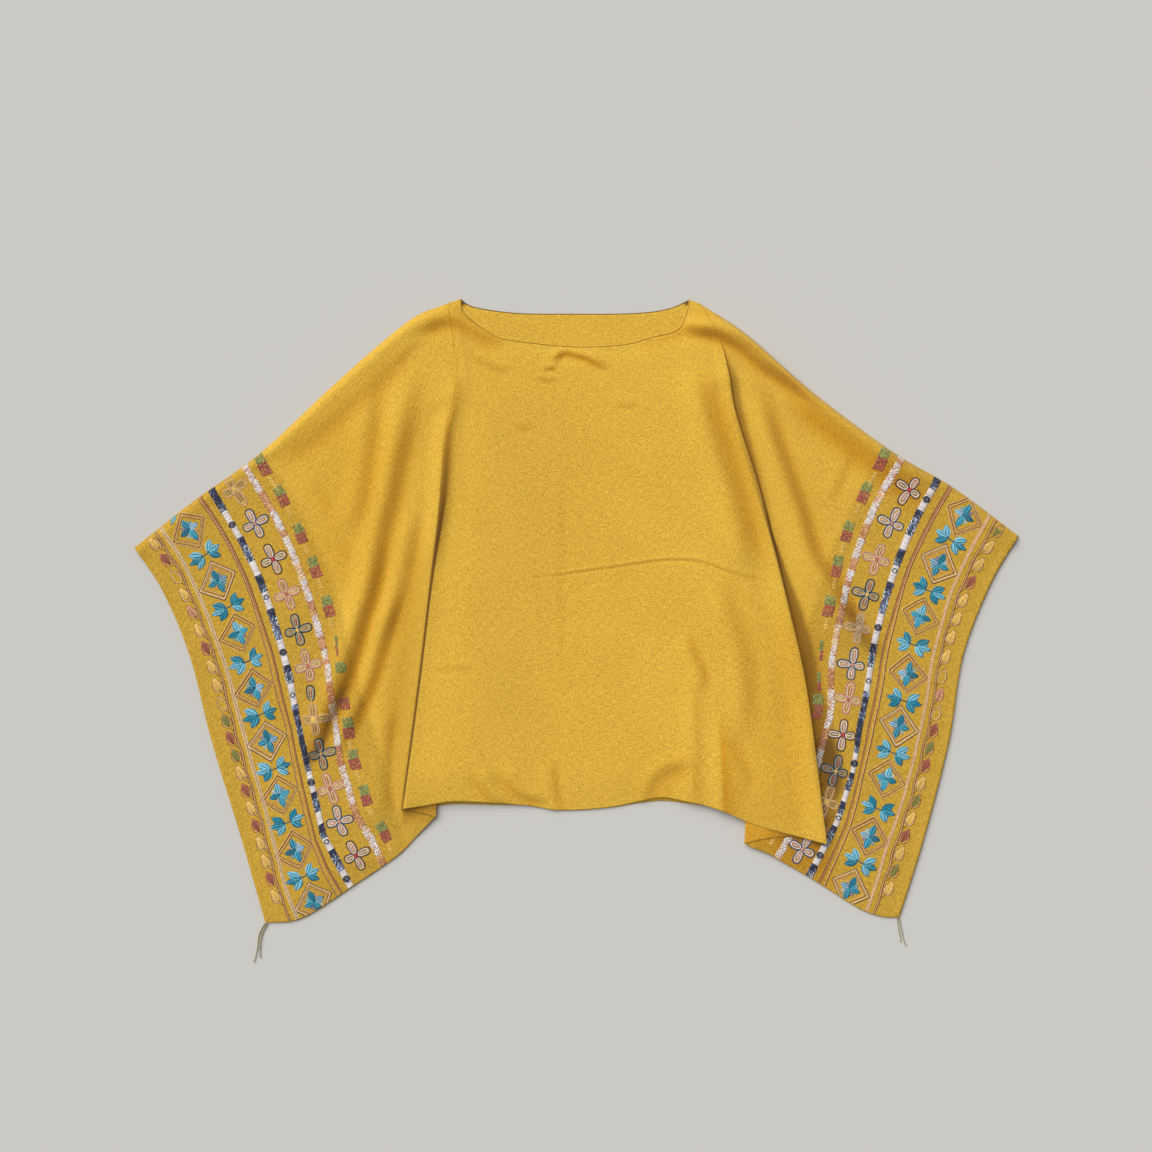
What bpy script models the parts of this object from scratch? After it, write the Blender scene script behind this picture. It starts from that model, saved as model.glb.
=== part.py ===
"""A woven poncho laid flat: front and back panels with a pleat at each side, and loose thread ends.

Each panel is one sheet of cloth. Its middle surface is a grid of rows, from the shoulder and neck edge
down to the hem, and columns, from the left cuff to the right cuff. Tables are in millimetres, with +X to
the right, +Y to the neck and +Z up, and the surface that the poncho lies on at Z = 0.
"""
from collections import namedtuple
from math import pi, sin

import bpy
import numpy as np

MM = 0.001
WALL = 1.2                # thickness of the cloth
AIR = 0.6                 # air between the layers of a pleat
LAYER = WALL + AIR
SEAM = WALL + 0.3         # front over back where they are sewn, middle to middle
LOFT = 2.2                # front over back elsewhere, middle to middle
FLOOR = WALL / 2          # middle of a layer that lies on the surface

BORDER = 208.0            # width of the embroidered border along a cuff
BORDER_AT_HEM = 215.0     # the same border measured along the slanted hem
TURN_STEPS = 4            # flat strips round a pleat's fold
MID_STEPS = 3             # strips across a pleat's middle layer
SMALLEST_MID = 1.5        # middle layer where a pleat begins
TURN_LENGTH = LAYER * TURN_STEPS * sin(pi / 2 / TURN_STEPS)

PANEL_LENGTH = 660.0                      # shoulder to hem along a pleat
SEWN_SHARE = 0.02                         # share of it over which the sewn front loosens
ROLL_HEIGHT, ROLL_WIDTH = 4.5, 24.0       # soft roll of the cloth along the shoulders
PUFF_HEIGHT, PUFF_REACH = 2.6, 45.0       # air under the front, and how far it takes to fill
PUFF_AT_HEM = 0.25                        # share of the air that is left at the hem
NECK_REACH, PLEAT_REACH = 30.0, 8.0       # cloth that lies close at the neck and beside a pleat
SHELF, DRAPE = 28.0, 44.0                 # how far a layer lies level beside a pleat, then comes down
HEM_SHELF = 32.0                          # the same level stretch below the body's hem
CREASE_POINTS, CREASE_FADE = 24, 20.0     # steps along a crease, and how fast it ends

CLOTH_COLOUR = (0.66, 0.40, 0.06, 1.0)
THREAD_COLOUR = (0.42, 0.36, 0.15, 1.0)

# Outline of each side, as (x, y). Cuffs and folds run from the shoulder down to the hem, shoulders from the
# cuff up to the fold of the pleat, wing hems from the cuff to the inner fold of the pleat.
CUFF = {
    "left": ((-574, 81), (-537, 24), (-502, -60), (-474, -169), (-436, -294), (-404, -406)),
    "right": ((574, 96), (537, 32), (502, -60), (484, -169), (452, -294), (419, -399)),
}
SHOULDER = {
    "left": ((-574, 81), (-495, 143), (-409, 205), (-307, 299), (-214, 377), (-166, 399)),
    "right": ((574, 96), (489, 159), (411, 205), (306, 283), (216, 361), (160, 398)),
}
WING_HEM = {
    "left": ((-404, -406), (-369, -404), (-339, -391), (-285, -355), (-235, -321), (-209, -296),
             (-181, -269)),
    "right": ((419, -399), (396, -398), (366, -387), (315, -355), (266, -326), (246, -315), (218, -305)),
}
FOLD = {
    "left": ((-166, 399), (-154, 300), (-168, 229), (-175, 138), (-189, 35), (-205, -100), (-226, -257)),
    "right": ((160, 398), (186, 348), (197, 305), (206, 254), (240, 144), (271, 17), (298, -105), (324, -303)),
}
# Tilt of the pleat's layers in plan, in degrees up towards the body, against the share of the way down.
TILT = {
    "left": ((0.0, 0.12, 1.0), (24, -12, -15)),
    "right": ((0.0, 0.10, 0.45, 1.0), (33, -24, -10, 0)),
}

Pleat = namedtuple("Pleat", "starts full apex hem_overlap hem_bow")
# starts and full: how far up the fold begins to turn and lies flat; apex: where its overlap begins;
# hem_overlap: the overlap at the hem; hem_bow: how far the middle layer's hem bows up
PLEAT = {
    "left": Pleat(345, 250, 268, 45, 0),
    "right": Pleat(360, 272, 288, 106, 9),
}

Panel = namedtuple("Panel", "neck hem inset overlap_less over columns rows")
# inset: how far its folds lie inside the front's; over: whether its body lies over its wings or under them;
# columns: strips across border, wing and body; rows: shares of the way from shoulder to hem
FRONT = Panel(
    neck=((-150, 404), (-145, 385), (-110, 359), (-81, 351), (-3, 343), (62, 346), (96, 355), (129, 364),
          (140, 379), (146, 403)),
    hem=((-226, -257), (-200, -254), (-161, -248), (-110, -250), (-62, -254), (-20, -260), (45, -256),
         (105, -244), (141, -248), (185, -259), (236, -280), (324, -303)),
    inset=0.0, overlap_less=0.0, over=True, columns=(8, 9, 18),
    rows=np.concatenate([(0, 0.006, 0.018, 0.036, 0.060), np.linspace(0.085, 0.245, 8),
                         np.linspace(0.30, 1, 15)]),
)
BACK = Panel(
    neck=((-150, 404), (-133, 394), (-77, 386), (-3, 385), (46, 385), (92, 387), (124, 393), (146, 403)),
    hem=((-226, -257), (-195, -256), (-161, -252), (-110, -253), (-62, -254), (-20, -260), (45, -256),
         (105, -248), (141, -251), (185, -258), (236, -279), (324, -303)),
    inset=1.0, overlap_less=2.0, over=False, columns=(8, 6, 10),
    rows=np.concatenate([(0, 0.03, 0.085), np.linspace(0.108, 0.245, 6), np.linspace(0.34, 1, 8)]),
)

Crease = namedtuple("Crease", "start middle end ridge valley width")
# A soft crease through three points: ridge is the height on the side nearer the left cuff, valley the depth
# on the other side, width the half width of each
CREASES = (
    Crease((-205, 295), (-262, 45), (-350, -196), 4.2, 2.6, 17),
    Crease((-215, 82), (-239, -22), (-288, -157), 2.6, 2.2, 13),
    Crease((-257, 290), (-272, 156), (-287, 90), 2.0, 1.4, 16),
    Crease((-236, -113), (-242, -190), (-249, -259), 1.8, 1.6, 12),
    Crease((239, 299), (290, 150), (382, -51), 3.6, 2.4, 18),
    Crease((177, 60), (212, -20), (223, -130), 1.8, 1.8, 16),
    Crease((144, -38), (164, -90), (166, -170), 1.6, 1.6, 14),
    Crease((-145, -188), (-100, -232), (-45, -243), 1.8, 1.2, 13),
    Crease((86, -238), (107, -215), (150, -206), 2.2, 1.2, 13),
    Crease((-62, 46), (90, 62), (259, 38), 1.4, 1.0, 16),
)

Thread = namedtuple("Thread", "name route radius")
THREADS = (
    Thread("thread_left_long", ((-404.4, -406.9), (-412, -421), (-414.5, -440), (-419, -458)), 1.0),
    Thread("thread_left_short", ((-401.4, -407.0), (-408.6, -422), (-411, -440), (-411, -452)), 1.0),
    Thread("thread_right_long", ((419.4, -399.6), (422, -414), (425, -428), (428, -437)), 0.8),
    Thread("thread_right_short", ((416.9, -399.7), (418.6, -414), (421, -426), (421, -432)), 0.8),
)
THREAD_CLEARANCE = 0.3    # lowest point of a thread over the surface


def smoothstep(x):
    """0 below 0, 1 above 1, and an even S between."""
    x = np.clip(x, 0, 1)
    return x * x * (3 - 2 * x)


def along(points, shares):
    """Points of a smooth curve through the given ones, at shares of its length."""
    points = np.asarray(points, float)
    ends = np.vstack([2 * points[0] - points[1], points, 2 * points[-1] - points[-2]])
    t = np.linspace(0, 1, 16, endpoint=False)[:, None]
    spans = [
        0.5 * (2 * b + (c - a) * t + (2 * a - 5 * b + 4 * c - d) * t ** 2 + (3 * b - a - 3 * c + d) * t ** 3)
        for a, b, c, d in zip(ends, ends[1:], ends[2:], ends[3:])
    ]
    line = np.vstack(spans + [points[-1:]])
    run = np.append(0, np.cumsum(np.linalg.norm(np.diff(line, axis=0), axis=1)))
    return np.stack([np.interp(shares, run / run[-1], line[:, k]) for k in (0, 1)], axis=-1)


def length(points):
    """Length of the smooth curve through the points."""
    fine = along(points, np.linspace(0, 1, 200))
    return np.linalg.norm(np.diff(fine, axis=0), axis=1).sum()


def coons(top, bottom, left, right, shares):
    """Surface between four edges: top and bottom run across, left and right down at the row shares."""
    s = np.linspace(0, 1, len(top))[None, :, None]
    v = shares[:, None, None]
    edges = (1 - v) * top[None] + v * bottom[None] + (1 - s) * left[:, None] + s * right[:, None]
    corners = (1 - v) * ((1 - s) * top[0] + s * top[-1]) + v * ((1 - s) * bottom[0] + s * bottom[-1])
    return edges - corners


class Side:
    """One side's pleat in one panel: where its folds run and how far they have turned."""

    def __init__(self, name, panel):
        self.name = name
        self.panel = panel
        self.inward = 1 if name == "left" else -1
        self.pleat = PLEAT[name]
        rows = panel.rows
        self.outer = along(FOLD[name], rows)
        self.outer[:, 0] += self.inward * panel.inset * smoothstep(rows / 0.2)
        y = self.outer[:, 1]
        self.turn = pi * smoothstep((self.pleat.starts - y) / (self.pleat.starts - self.pleat.full))
        hem_y = FOLD[name][-1][1]
        overlap = self.pleat.hem_overlap - panel.overlap_less
        self.overlap = overlap * np.clip((self.pleat.apex - y) / (self.pleat.apex - hem_y), 0, 1)
        self.middle = np.maximum(SMALLEST_MID, self.overlap - LAYER)
        tilt = np.radians(np.interp(rows, *TILT[name]))
        self.across = np.stack([self.inward * np.cos(tilt), np.sin(tilt)], axis=1)
        self.offset, self.height = self.section()
        self.rise = self.height[:, -1]

    def section(self):
        """The pleat's section in each row, from the wing to the body: offset inward and height.

        The cloth turns up and back on itself round the inner fold, runs out as the middle layer, and turns
        again round the outer fold. Both turns keep their length, so a pleat opens out flat at its top.
        """
        step = (np.arange(TURN_STEPS) + 0.5) / TURN_STEPS
        heading = np.concatenate([step, np.ones(MID_STEPS), 1 - step]) * self.turn[:, None]
        turning = np.full((len(self.turn), TURN_STEPS), TURN_LENGTH / TURN_STEPS)
        middle = np.repeat(self.middle[:, None] / MID_STEPS, MID_STEPS, axis=1)
        stride = np.concatenate([turning, middle, turning], axis=1)
        start = np.zeros((len(self.turn), 1))
        offset = np.concatenate([start, np.cumsum(stride * np.cos(heading), axis=1)], axis=1)
        height = np.concatenate([start, np.cumsum(stride * np.sin(heading), axis=1)], axis=1)
        outer_fold = TURN_STEPS + MID_STEPS + TURN_STEPS // 2
        return offset - offset[:, outer_fold:outer_fold + 1], height

    def at(self, y, values):
        """A value of the rows, read at any distance up the panel."""
        return np.interp(y, self.outer[::-1, 1], values[::-1])

    def cover(self, x, y):
        """1 over the pleat, falling to 0 out over the wing and below the body's hem."""
        inward = self.inward * (x - self.at(y, self.outer[:, 0]))
        above_hem = y - FOLD[self.name][-1][1]
        beside = smoothstep((inward + SHELF + DRAPE) / DRAPE)
        return beside * smoothstep((above_hem + HEM_SHELF + DRAPE) / DRAPE)

    def under_body(self, x, y):
        """1 from the pleat's outer fold to its inner fold, falling to 0 towards the body's middle."""
        inner = self.at(y, self.outer[:, 0]) + self.inward * self.at(y, self.overlap)
        return 1 - smoothstep((self.inward * (x - inner) - SHELF) / DRAPE)


def crease_relief(x, y):
    """Height that the soft creases add to the front panel at each point."""
    total = np.zeros_like(x)
    for crease in CREASES:
        line = along((crease.start, crease.middle, crease.end), np.linspace(0, 1, CREASE_POINTS))
        heading = np.gradient(line, axis=0)
        heading /= np.linalg.norm(heading, axis=1)[:, None]
        away = np.stack([x, y], axis=-1)[..., None, :] - line
        nearest = np.argmin((away ** 2).sum(axis=-1), axis=-1)
        gap = np.take_along_axis(away, nearest[..., None, None], axis=-2)[..., 0, :]
        tangent = heading[nearest]
        across = tangent[..., 1] * gap[..., 0] - tangent[..., 0] * gap[..., 1]
        beyond = tangent[..., 0] * gap[..., 0] + tangent[..., 1] * gap[..., 1]
        strength = np.sin(pi * np.clip(nearest / (CREASE_POINTS - 1), 0.06, 0.94)) ** 0.5
        strength *= np.exp(-(beyond / CREASE_FADE) ** 2)
        ridge = crease.ridge * np.exp(-(across / crease.width - 0.8) ** 2)
        valley = crease.valley * np.exp(-(across / crease.width + 0.8) ** 2)
        total += strength * (ridge - valley)
    return total


def loft(share):
    """Height of the front over the back at a share of the way down: close where they are sewn."""
    return SEAM + (LOFT - SEAM) * smoothstep(share / SEWN_SHARE)


def front_relief(x, y, share, edge_gap, roll):
    """Height of the front over its lowest lie: air under it, soft creases and the shoulder roll.

    share is the way down the panel, edge_gap the distance to the cuff or pleat that holds the cloth down.
    """
    down = share * PANEL_LENGTH
    off_hem = smoothstep((PANEL_LENGTH - down) / PUFF_REACH)
    held = smoothstep(edge_gap / PUFF_REACH) * (PUFF_AT_HEM + (1 - PUFF_AT_HEM) * off_hem)
    puff = (PUFF_HEIGHT + crease_relief(x, y)) * held * smoothstep(down / NECK_REACH)
    rolled = ROLL_HEIGHT * np.sin(pi * np.clip(down / ROLL_WIDTH, 0, 1)) ** 0.8
    return np.maximum(puff, 0) + rolled * roll


def pleat_lift(side, backs, x, y):
    """Height that a pleat's layers add under the body panel; the back's body lies under them all."""
    if not side.panel.over:
        return np.zeros_like(x)
    lift = backs.under_body(x, y) * backs.at(y, backs.rise)
    return lift + side.under_body(x, y) * side.at(y, side.rise)


def wing(side, backs):
    """Grid of one wing and its pleat, from the cuff in to the body, as rows of (x, y, z).

    backs is the back panel's same side, whose level carries the front.
    """
    panel, rows = side.panel, side.panel.rows
    border_steps, wing_steps, _ = panel.columns
    shoulder, hem = SHOULDER[side.name], WING_HEM[side.name]
    inner_edge = side.outer + side.offset[:, :1] * side.across
    cuff = along(CUFF[side.name], rows)
    heading = np.gradient(cuff, axis=0)
    heading /= np.linalg.norm(heading, axis=1)[:, None]
    inward = side.inward * np.stack([-heading[:, 1], heading[:, 0]], axis=1)
    split = BORDER / length(shoulder)
    hem_split = BORDER_AT_HEM / length(hem)
    top = along(shoulder, np.append(np.linspace(0, split, border_steps + 1),
                                    np.linspace(split, 1, wing_steps + 1)[1:]))
    bottom = along(hem, np.append(np.linspace(0, hem_split, border_steps + 1),
                                  np.linspace(hem_split, 1, wing_steps + 1)[1:]))
    slide = np.linspace(0, 1, wing_steps + 1)[:, None]
    top[border_steps:] += slide * (inner_edge[0] - top[-1])
    bottom[border_steps:] += slide * (inner_edge[-1] - bottom[-1])
    border = cuff + BORDER * inward
    border += ((1 - rows) ** 2)[:, None] * (top[border_steps] - border[0])
    border += (rows ** 2)[:, None] * (bottom[border_steps] - border[-1])
    outside = coons(top[:border_steps + 1], bottom[:border_steps + 1], cuff, border, rows)
    inside = coons(top[border_steps:], bottom[border_steps:], border, inner_edge, rows)
    flat = np.concatenate([outside, inside[:, 1:]], axis=1)
    x, y = flat[..., 0], flat[..., 1]
    level = FLOOR + backs.cover(x, y) * backs.at(y, backs.rise)
    if panel.over:
        share = np.broadcast_to(rows[:, None], x.shape)
        from_cuff = np.append(np.linspace(0, BORDER, border_steps + 1), np.full(wing_steps, BORDER))
        from_pleat = side.inward * (side.at(y, side.outer[:, 0]) - x) - PLEAT_REACH
        relief = front_relief(x, y, share, np.minimum(from_cuff[None], from_pleat), 1.0)
        level = level + loft(share) + relief
    grid = np.dstack([x, y, level])
    return np.concatenate([grid, pleat_layers(side, backs, level[:, -1:])[:, 1:]], axis=1)


def pleat_layers(side, backs, start):
    """Grid of a pleat's two folds and middle layer, from the wing's height, start, to the body's."""
    panel, rows = side.panel, side.panel.rows
    flat = side.outer[:, None] + side.offset[..., None] * side.across[:, None]
    share_across = np.clip(side.offset / np.maximum(side.overlap, LAYER)[:, None], 0, 1)
    flat[..., 1] += side.pleat.hem_bow * rows[:, None] ** 4 * np.sin(pi * share_across)
    end = FLOOR + panel.over * loft(rows) + pleat_lift(side, backs, flat[:, -1, 0], flat[:, -1, 1])
    climb = side.height if panel.over else -side.height
    miss = end[:, None] - start - climb[:, -1:]
    level = start + climb + np.linspace(0, 1, climb.shape[1])[None] * miss
    return np.dstack([flat[..., 0], flat[..., 1], level])


def body(panel, left, right, left_wing, right_wing, backs):
    """Grid of the body between the two pleats, from left to right, as rows of (x, y, z)."""
    rows, steps = panel.rows, panel.columns[2]
    first, last = left_wing[:, -1, :2], right_wing[:, -1, :2]
    top = np.vstack([first[0], along(panel.neck, np.linspace(0, 1, steps - 1)), last[0]])
    bottom = along(panel.hem, np.linspace(0, 1, steps + 1))
    slide = np.linspace(0, 1, steps + 1)[:, None]
    bottom += (1 - slide) ** 4 * (first[-1] - bottom[0]) + slide ** 4 * (last[-1] - bottom[-1])
    flat = coons(top, bottom, first, last, rows)
    x, y = flat[..., 0], flat[..., 1]
    if not panel.over:
        return np.dstack([x, y, np.full_like(x, FLOOR)])
    share = np.broadcast_to(rows[:, None], x.shape)
    level = FLOOR + loft(share) + pleat_lift(left, backs[0], x, y) + pleat_lift(right, backs[1], x, y)
    column = np.arange(steps + 1)[None]
    roll = np.broadcast_to(np.clip(1 - np.minimum(column, steps - column), 0, 1), x.shape)
    edge_gap = np.minimum(x - left.at(y, left.outer[:, 0]), right.at(y, right.outer[:, 0]) - x)
    return np.dstack([x, y, level + front_relief(x, y, share, edge_gap, roll)])


def cloth(name, grid, colour, collection):
    """A panel of cloth: the grid as a sheet, thickened evenly on both sides."""
    rows, columns = grid.shape[:2]
    corner = np.arange(rows * columns).reshape(rows, columns)
    quads = np.stack([corner[1:, :-1], corner[1:, 1:], corner[:-1, 1:], corner[:-1, :-1]], axis=-1)
    mesh = bpy.data.meshes.new(name)
    mesh.from_pydata((grid.reshape(-1, 3) * MM).tolist(), [], quads.reshape(-1, 4).tolist())
    panel = bpy.data.objects.new(name, mesh)
    collection.objects.link(panel)
    wall = panel.modifiers.new("wall", "SOLIDIFY")
    wall.thickness = WALL * MM
    wall.offset = 0
    wall.use_even_offset = True
    mesh.shade_smooth()
    mesh.materials.append(finish(name, colour))
    return panel


def thread(spec, collection):
    """A loose thread end: a four-sided strand that tapers, just above the surface."""
    curve = bpy.data.curves.new(spec.name, "CURVE")
    curve.dimensions = "3D"
    curve.bevel_depth = spec.radius * MM
    curve.bevel_resolution = 0
    curve.use_fill_caps = True
    route = along(spec.route, np.linspace(0, 1, 9))
    spline = curve.splines.new("POLY")
    spline.points.add(len(route) - 1)
    for i, (x, y) in enumerate(route):
        spline.points[i].co = (x * MM, y * MM, (spec.radius + THREAD_CLEARANCE) * MM, 1)
        spline.points[i].radius = 1 - 0.35 * i / (len(route) - 1)
    strand = bpy.data.objects.new(spec.name, curve)
    collection.objects.link(strand)
    curve.materials.append(finish(spec.name, THREAD_COLOUR))
    return strand


def finish(name, colour):
    """A matt woven surface in one colour."""
    material = bpy.data.materials.new(name)
    material.use_nodes = True
    shader = material.node_tree.nodes["Principled BSDF"]
    shader.inputs["Base Color"].default_value = colour
    shader.inputs["Roughness"].default_value = 0.9
    shader.inputs["Metallic"].default_value = 0.0
    material.diffuse_color = colour
    return material


def main():
    for item in list(bpy.data.objects):
        bpy.data.objects.remove(item, do_unlink=True)
    collection = bpy.data.collections.new("poncho")
    bpy.context.scene.collection.children.link(collection)
    backs = [Side(name, BACK) for name in ("left", "right")]
    for name, panel in (("back_panel", BACK), ("front_panel", FRONT)):
        sides = [Side(side, panel) for side in ("left", "right")]
        wings = [wing(side, carrier) for side, carrier in zip(sides, backs)]
        middle = body(panel, *sides, *wings, backs)
        grid = np.concatenate([wings[0], middle[:, 1:-1], wings[1][:, ::-1]], axis=1)
        cloth(name, grid, CLOTH_COLOUR, collection)
    for spec in THREADS:
        thread(spec, collection)


main()
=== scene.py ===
"""Looks of a woven poncho laid flat: fine cloth, embroidered cuff borders, hem sewing and thread tails.

Tables are in millimetres, with +X to the right, +Y to the neck and +Z up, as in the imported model, and the
surface that the poncho lies on is at Z = 0. On a border, u runs down the cuff and d inwards from it.
"""
from collections import namedtuple
from functools import lru_cache
from math import pi, radians, sin

import bpy
import numpy as np
from bpy.props import FloatProperty, FloatVectorProperty, PointerProperty
from bpy.types import Operator, Panel as SidebarPanel, PropertyGroup
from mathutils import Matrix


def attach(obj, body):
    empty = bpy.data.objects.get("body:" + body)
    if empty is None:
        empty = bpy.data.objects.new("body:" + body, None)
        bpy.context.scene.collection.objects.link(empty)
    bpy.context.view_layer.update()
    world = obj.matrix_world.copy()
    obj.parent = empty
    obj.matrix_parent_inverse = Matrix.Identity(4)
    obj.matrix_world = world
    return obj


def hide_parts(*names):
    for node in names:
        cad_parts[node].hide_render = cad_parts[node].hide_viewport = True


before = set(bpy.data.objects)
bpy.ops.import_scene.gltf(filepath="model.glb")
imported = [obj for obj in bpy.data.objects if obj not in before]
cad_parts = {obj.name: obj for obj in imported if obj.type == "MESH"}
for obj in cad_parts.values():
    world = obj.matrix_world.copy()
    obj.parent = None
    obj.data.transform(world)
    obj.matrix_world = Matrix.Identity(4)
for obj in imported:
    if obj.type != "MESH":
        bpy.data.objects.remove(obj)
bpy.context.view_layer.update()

bl_info = {
    "name": "Poncho laid flat",
    "version": (1, 0, 0),
    "blender": (4, 5, 0),
    "location": "3D View > Sidebar > Poncho",
    "description": "Builds the cloth, embroidery, hem sewing and thread tails of a poncho laid flat",
    "category": "Object",
}

MM = 0.001
WALL = 0.9  # thickness of the cloth
AIR = 0.6  # air between the layers of a pleat
LAYER = WALL + AIR
SEAM = WALL + 0.3  # front over back where they are sewn, middle to middle
LOFT = 2.2  # front over back elsewhere, middle to middle
FLOOR = WALL / 2  # middle of a layer that lies on the surface
OFF_MAP = 400.0  # distance in a map for cloth that lies off its edge
PAST_BORDER = 5.0  # how far each of three columns lies past the border in its map

BORDER = 208.0  # width of the embroidered border along a cuff
BORDER_AT_HEM = 215.0  # the same border measured along the slanted hem
BORDER_END = 6.0  # end of the border where a motif's turn is no longer measured
MOTIF_STEP = 4.0  # distance on each side of a motif's centre over which it is
COVERED_FROM, COVERED_BELOW = 14.0, 24.0  # how far out and below the hem the body's pleat presses stitches
COVERED_FADE, PRESSED = 12.0, 0.6  # over which distance, and by which share of their height
TURN_STEPS = 8  # flat strips round a pleat's fold
MID_STEPS = 5  # strips across a pleat's middle layer
PLEAT_STEPS = 2 * TURN_STEPS + MID_STEPS
SMALLEST_MID = 1.5  # middle layer where a pleat begins
TURN_LENGTH = LAYER * TURN_STEPS * sin(pi / 2 / TURN_STEPS)

PANEL_LENGTH = 660.0  # shoulder to hem along a pleat
CORNER_STEPS = 4  # strips from a pleat's fold to the neck's corner along the shoulder
CORNER_REACH = 46.0  # distance from a neck corner over which the front loosens
CORNER_SPREAD, CORNER_DOWN = 8.0, 45.0  # how far the column below the left corner keeps off the neck's edge
SEWN_REACH = 13.0  # distance from a sewn edge over which the front loosens
ROLL_WIDTH = 24.0  # soft roll of the cloth along the shoulders
PUFF_HEIGHT, PUFF_REACH = 2.6, 45.0  # air under the front, and how far it takes to fill
CLOSED_AT_HEM = 14.0  # how far up from the hem the front lies close to the back
NECK_REACH, PLEAT_REACH = 30.0, 8.0  # cloth that lies close at the neck and beside a pleat
CREASE_REACH, SEAM_REACH = 7.0, 12.0  # how near to a pleat and to a sewn edge the creases run
SHELF, DRAPE = 28.0, 70.0  # how far a layer lies level beside a pleat, then comes down
HEM_DRAPE = 42.0  # the same way down below the body's hem
BODY_DRAPE = 130.0  # the same way down for the body over the pleats
OPEN_CLOTH = 200.0  # distance to a pleat that stands for none
HEM_SHELF = 4.0  # the same level stretch below the body's hem
CREASE_POINTS, CREASE_FADE = 40, 14.0  # steps along a crease, and how fast it ends
CREASE_ENDS, FOLD_ENDS = 0.24, 0.25  # shares of a crease and of a fold's painted shade over which they fade in and out
BELL_AT, SHADE_AT = 0.8, 0.25  # where a crease's bells and its painted shade stand, over their width
ROLL_CLIMB, ROLL_FALL = 0.33, 0.9  # shares of the roll's width over which it climbs and comes down
EDGE_POINTS = 200  # points along an edge that is measured
TURNED_HEM, HEM_STEP = 7.0, 0.35  # width of the turned hems, and how proud they stand

# Outline of each side, as (x, y). Cuffs and folds run from the shoulder down to the hem, shoulders from the
# cuff up to the fold of the pleat, wing hems from the cuff to the inner fold of the pleat.
CUFF = {
    "left": ((-574, 81), (-537, 24), (-502, -60), (-474, -169), (-436, -294), (-404, -406)),
    "right": ((574, 96), (537, 32), (502, -60), (484, -169), (452, -294), (419, -399)),
}
SHOULDER = {
    "left": ((-574, 81), (-495, 143), (-409, 205), (-307, 299), (-214, 377), (-166, 399)),
    "right": ((574, 96), (489, 159), (411, 205), (306, 283), (216, 361), (160, 398)),
}
WING_HEM = {
    "left": ((-404, -406), (-369, -404), (-339, -391), (-285, -355), (-235, -321), (-209, -296),
             (-181, -269)),
    "right": ((419, -399), (396, -398), (366, -387), (315, -355), (266, -326), (246, -315), (218, -305)),
}
FOLD = {
    "left": ((-166, 399), (-154, 300), (-168, 229), (-175, 138), (-189, 35), (-205, -100), (-226, -257)),
    "right": ((160, 398), (186, 348), (197, 305), (206, 254), (240, 144), (271, 17), (298, -105),
              (324, -303)),
}
# Tilt of the pleat's layers in plan, in degrees up towards the body, against the share of the way down.
TILT = {
    "left": ((0.0, 0.12, 1.0), (24, -12, -15)),
    "right": ((0.0, 0.10, 0.45, 1.0), (33, -24, -10, 0)),
}

Pleat = namedtuple("Pleat", "starts full apex hem_overlap hem_bow")
# starts and full: how far up the fold begins to turn and lies flat; apex: where its overlap begins;
# hem_overlap: the overlap at the hem; hem_bow: how far the middle layer's hem bows up
PLEAT = {
    "left": Pleat(345, 250, 268, 45, 0),
    "right": Pleat(360, 272, 288, 106, 9),
}

Panel = namedtuple("Panel", "neck hem inset overlap_less over columns rows")
# inset: how far its folds lie inside the front's; over: whether its body lies over its wings or under them;
# columns: strips across border, wing and body; rows: shares of the way from shoulder to hem
FRONT = Panel(
    neck=((-150, 404), (-145, 385), (-110, 359), (-81, 351), (-3, 343), (62, 346), (96, 355), (129, 364),
          (140, 379), (146, 403)),
    hem=((-226, -257), (-200, -254), (-161, -248), (-110, -250), (-62, -254), (-20, -260), (45, -256),
         (105, -244), (141, -248), (185, -259), (236, -280), (324, -303)),
    inset=0.0, overlap_less=0.0, over=True, columns=(42, 40, 98),
    rows=np.concatenate([
        np.linspace(0, 0.012, 6)[:-1], np.linspace(0.012, 0.07, 13)[:-1], np.linspace(0.07, 0.47, 52)[:-1],
        np.linspace(0.47, 0.53, 21)[:-1], np.linspace(0.53, 0.985, 58)[:-1], np.linspace(0.985, 1, 6)]),
)
BACK = Panel(
    neck=((-150, 404), (-133, 394), (-77, 386), (-3, 385), (46, 385), (92, 387), (124, 393), (146, 403)),
    hem=((-226, -257), (-195, -256), (-161, -252), (-110, -253), (-62, -254), (-20, -260), (45, -256),
         (105, -248), (141, -251), (185, -258), (236, -279), (324, -303)),
    inset=1.0, overlap_less=2.0, over=False, columns=(18, 16, 44),
    rows=np.concatenate([np.linspace(0, 0.06, 12)[:-1], np.linspace(0.06, 1, 52)]),
)

Crease = namedtuple("Crease", "path ridge valley ridge_width valley_width tone", defaults=(None,))
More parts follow.
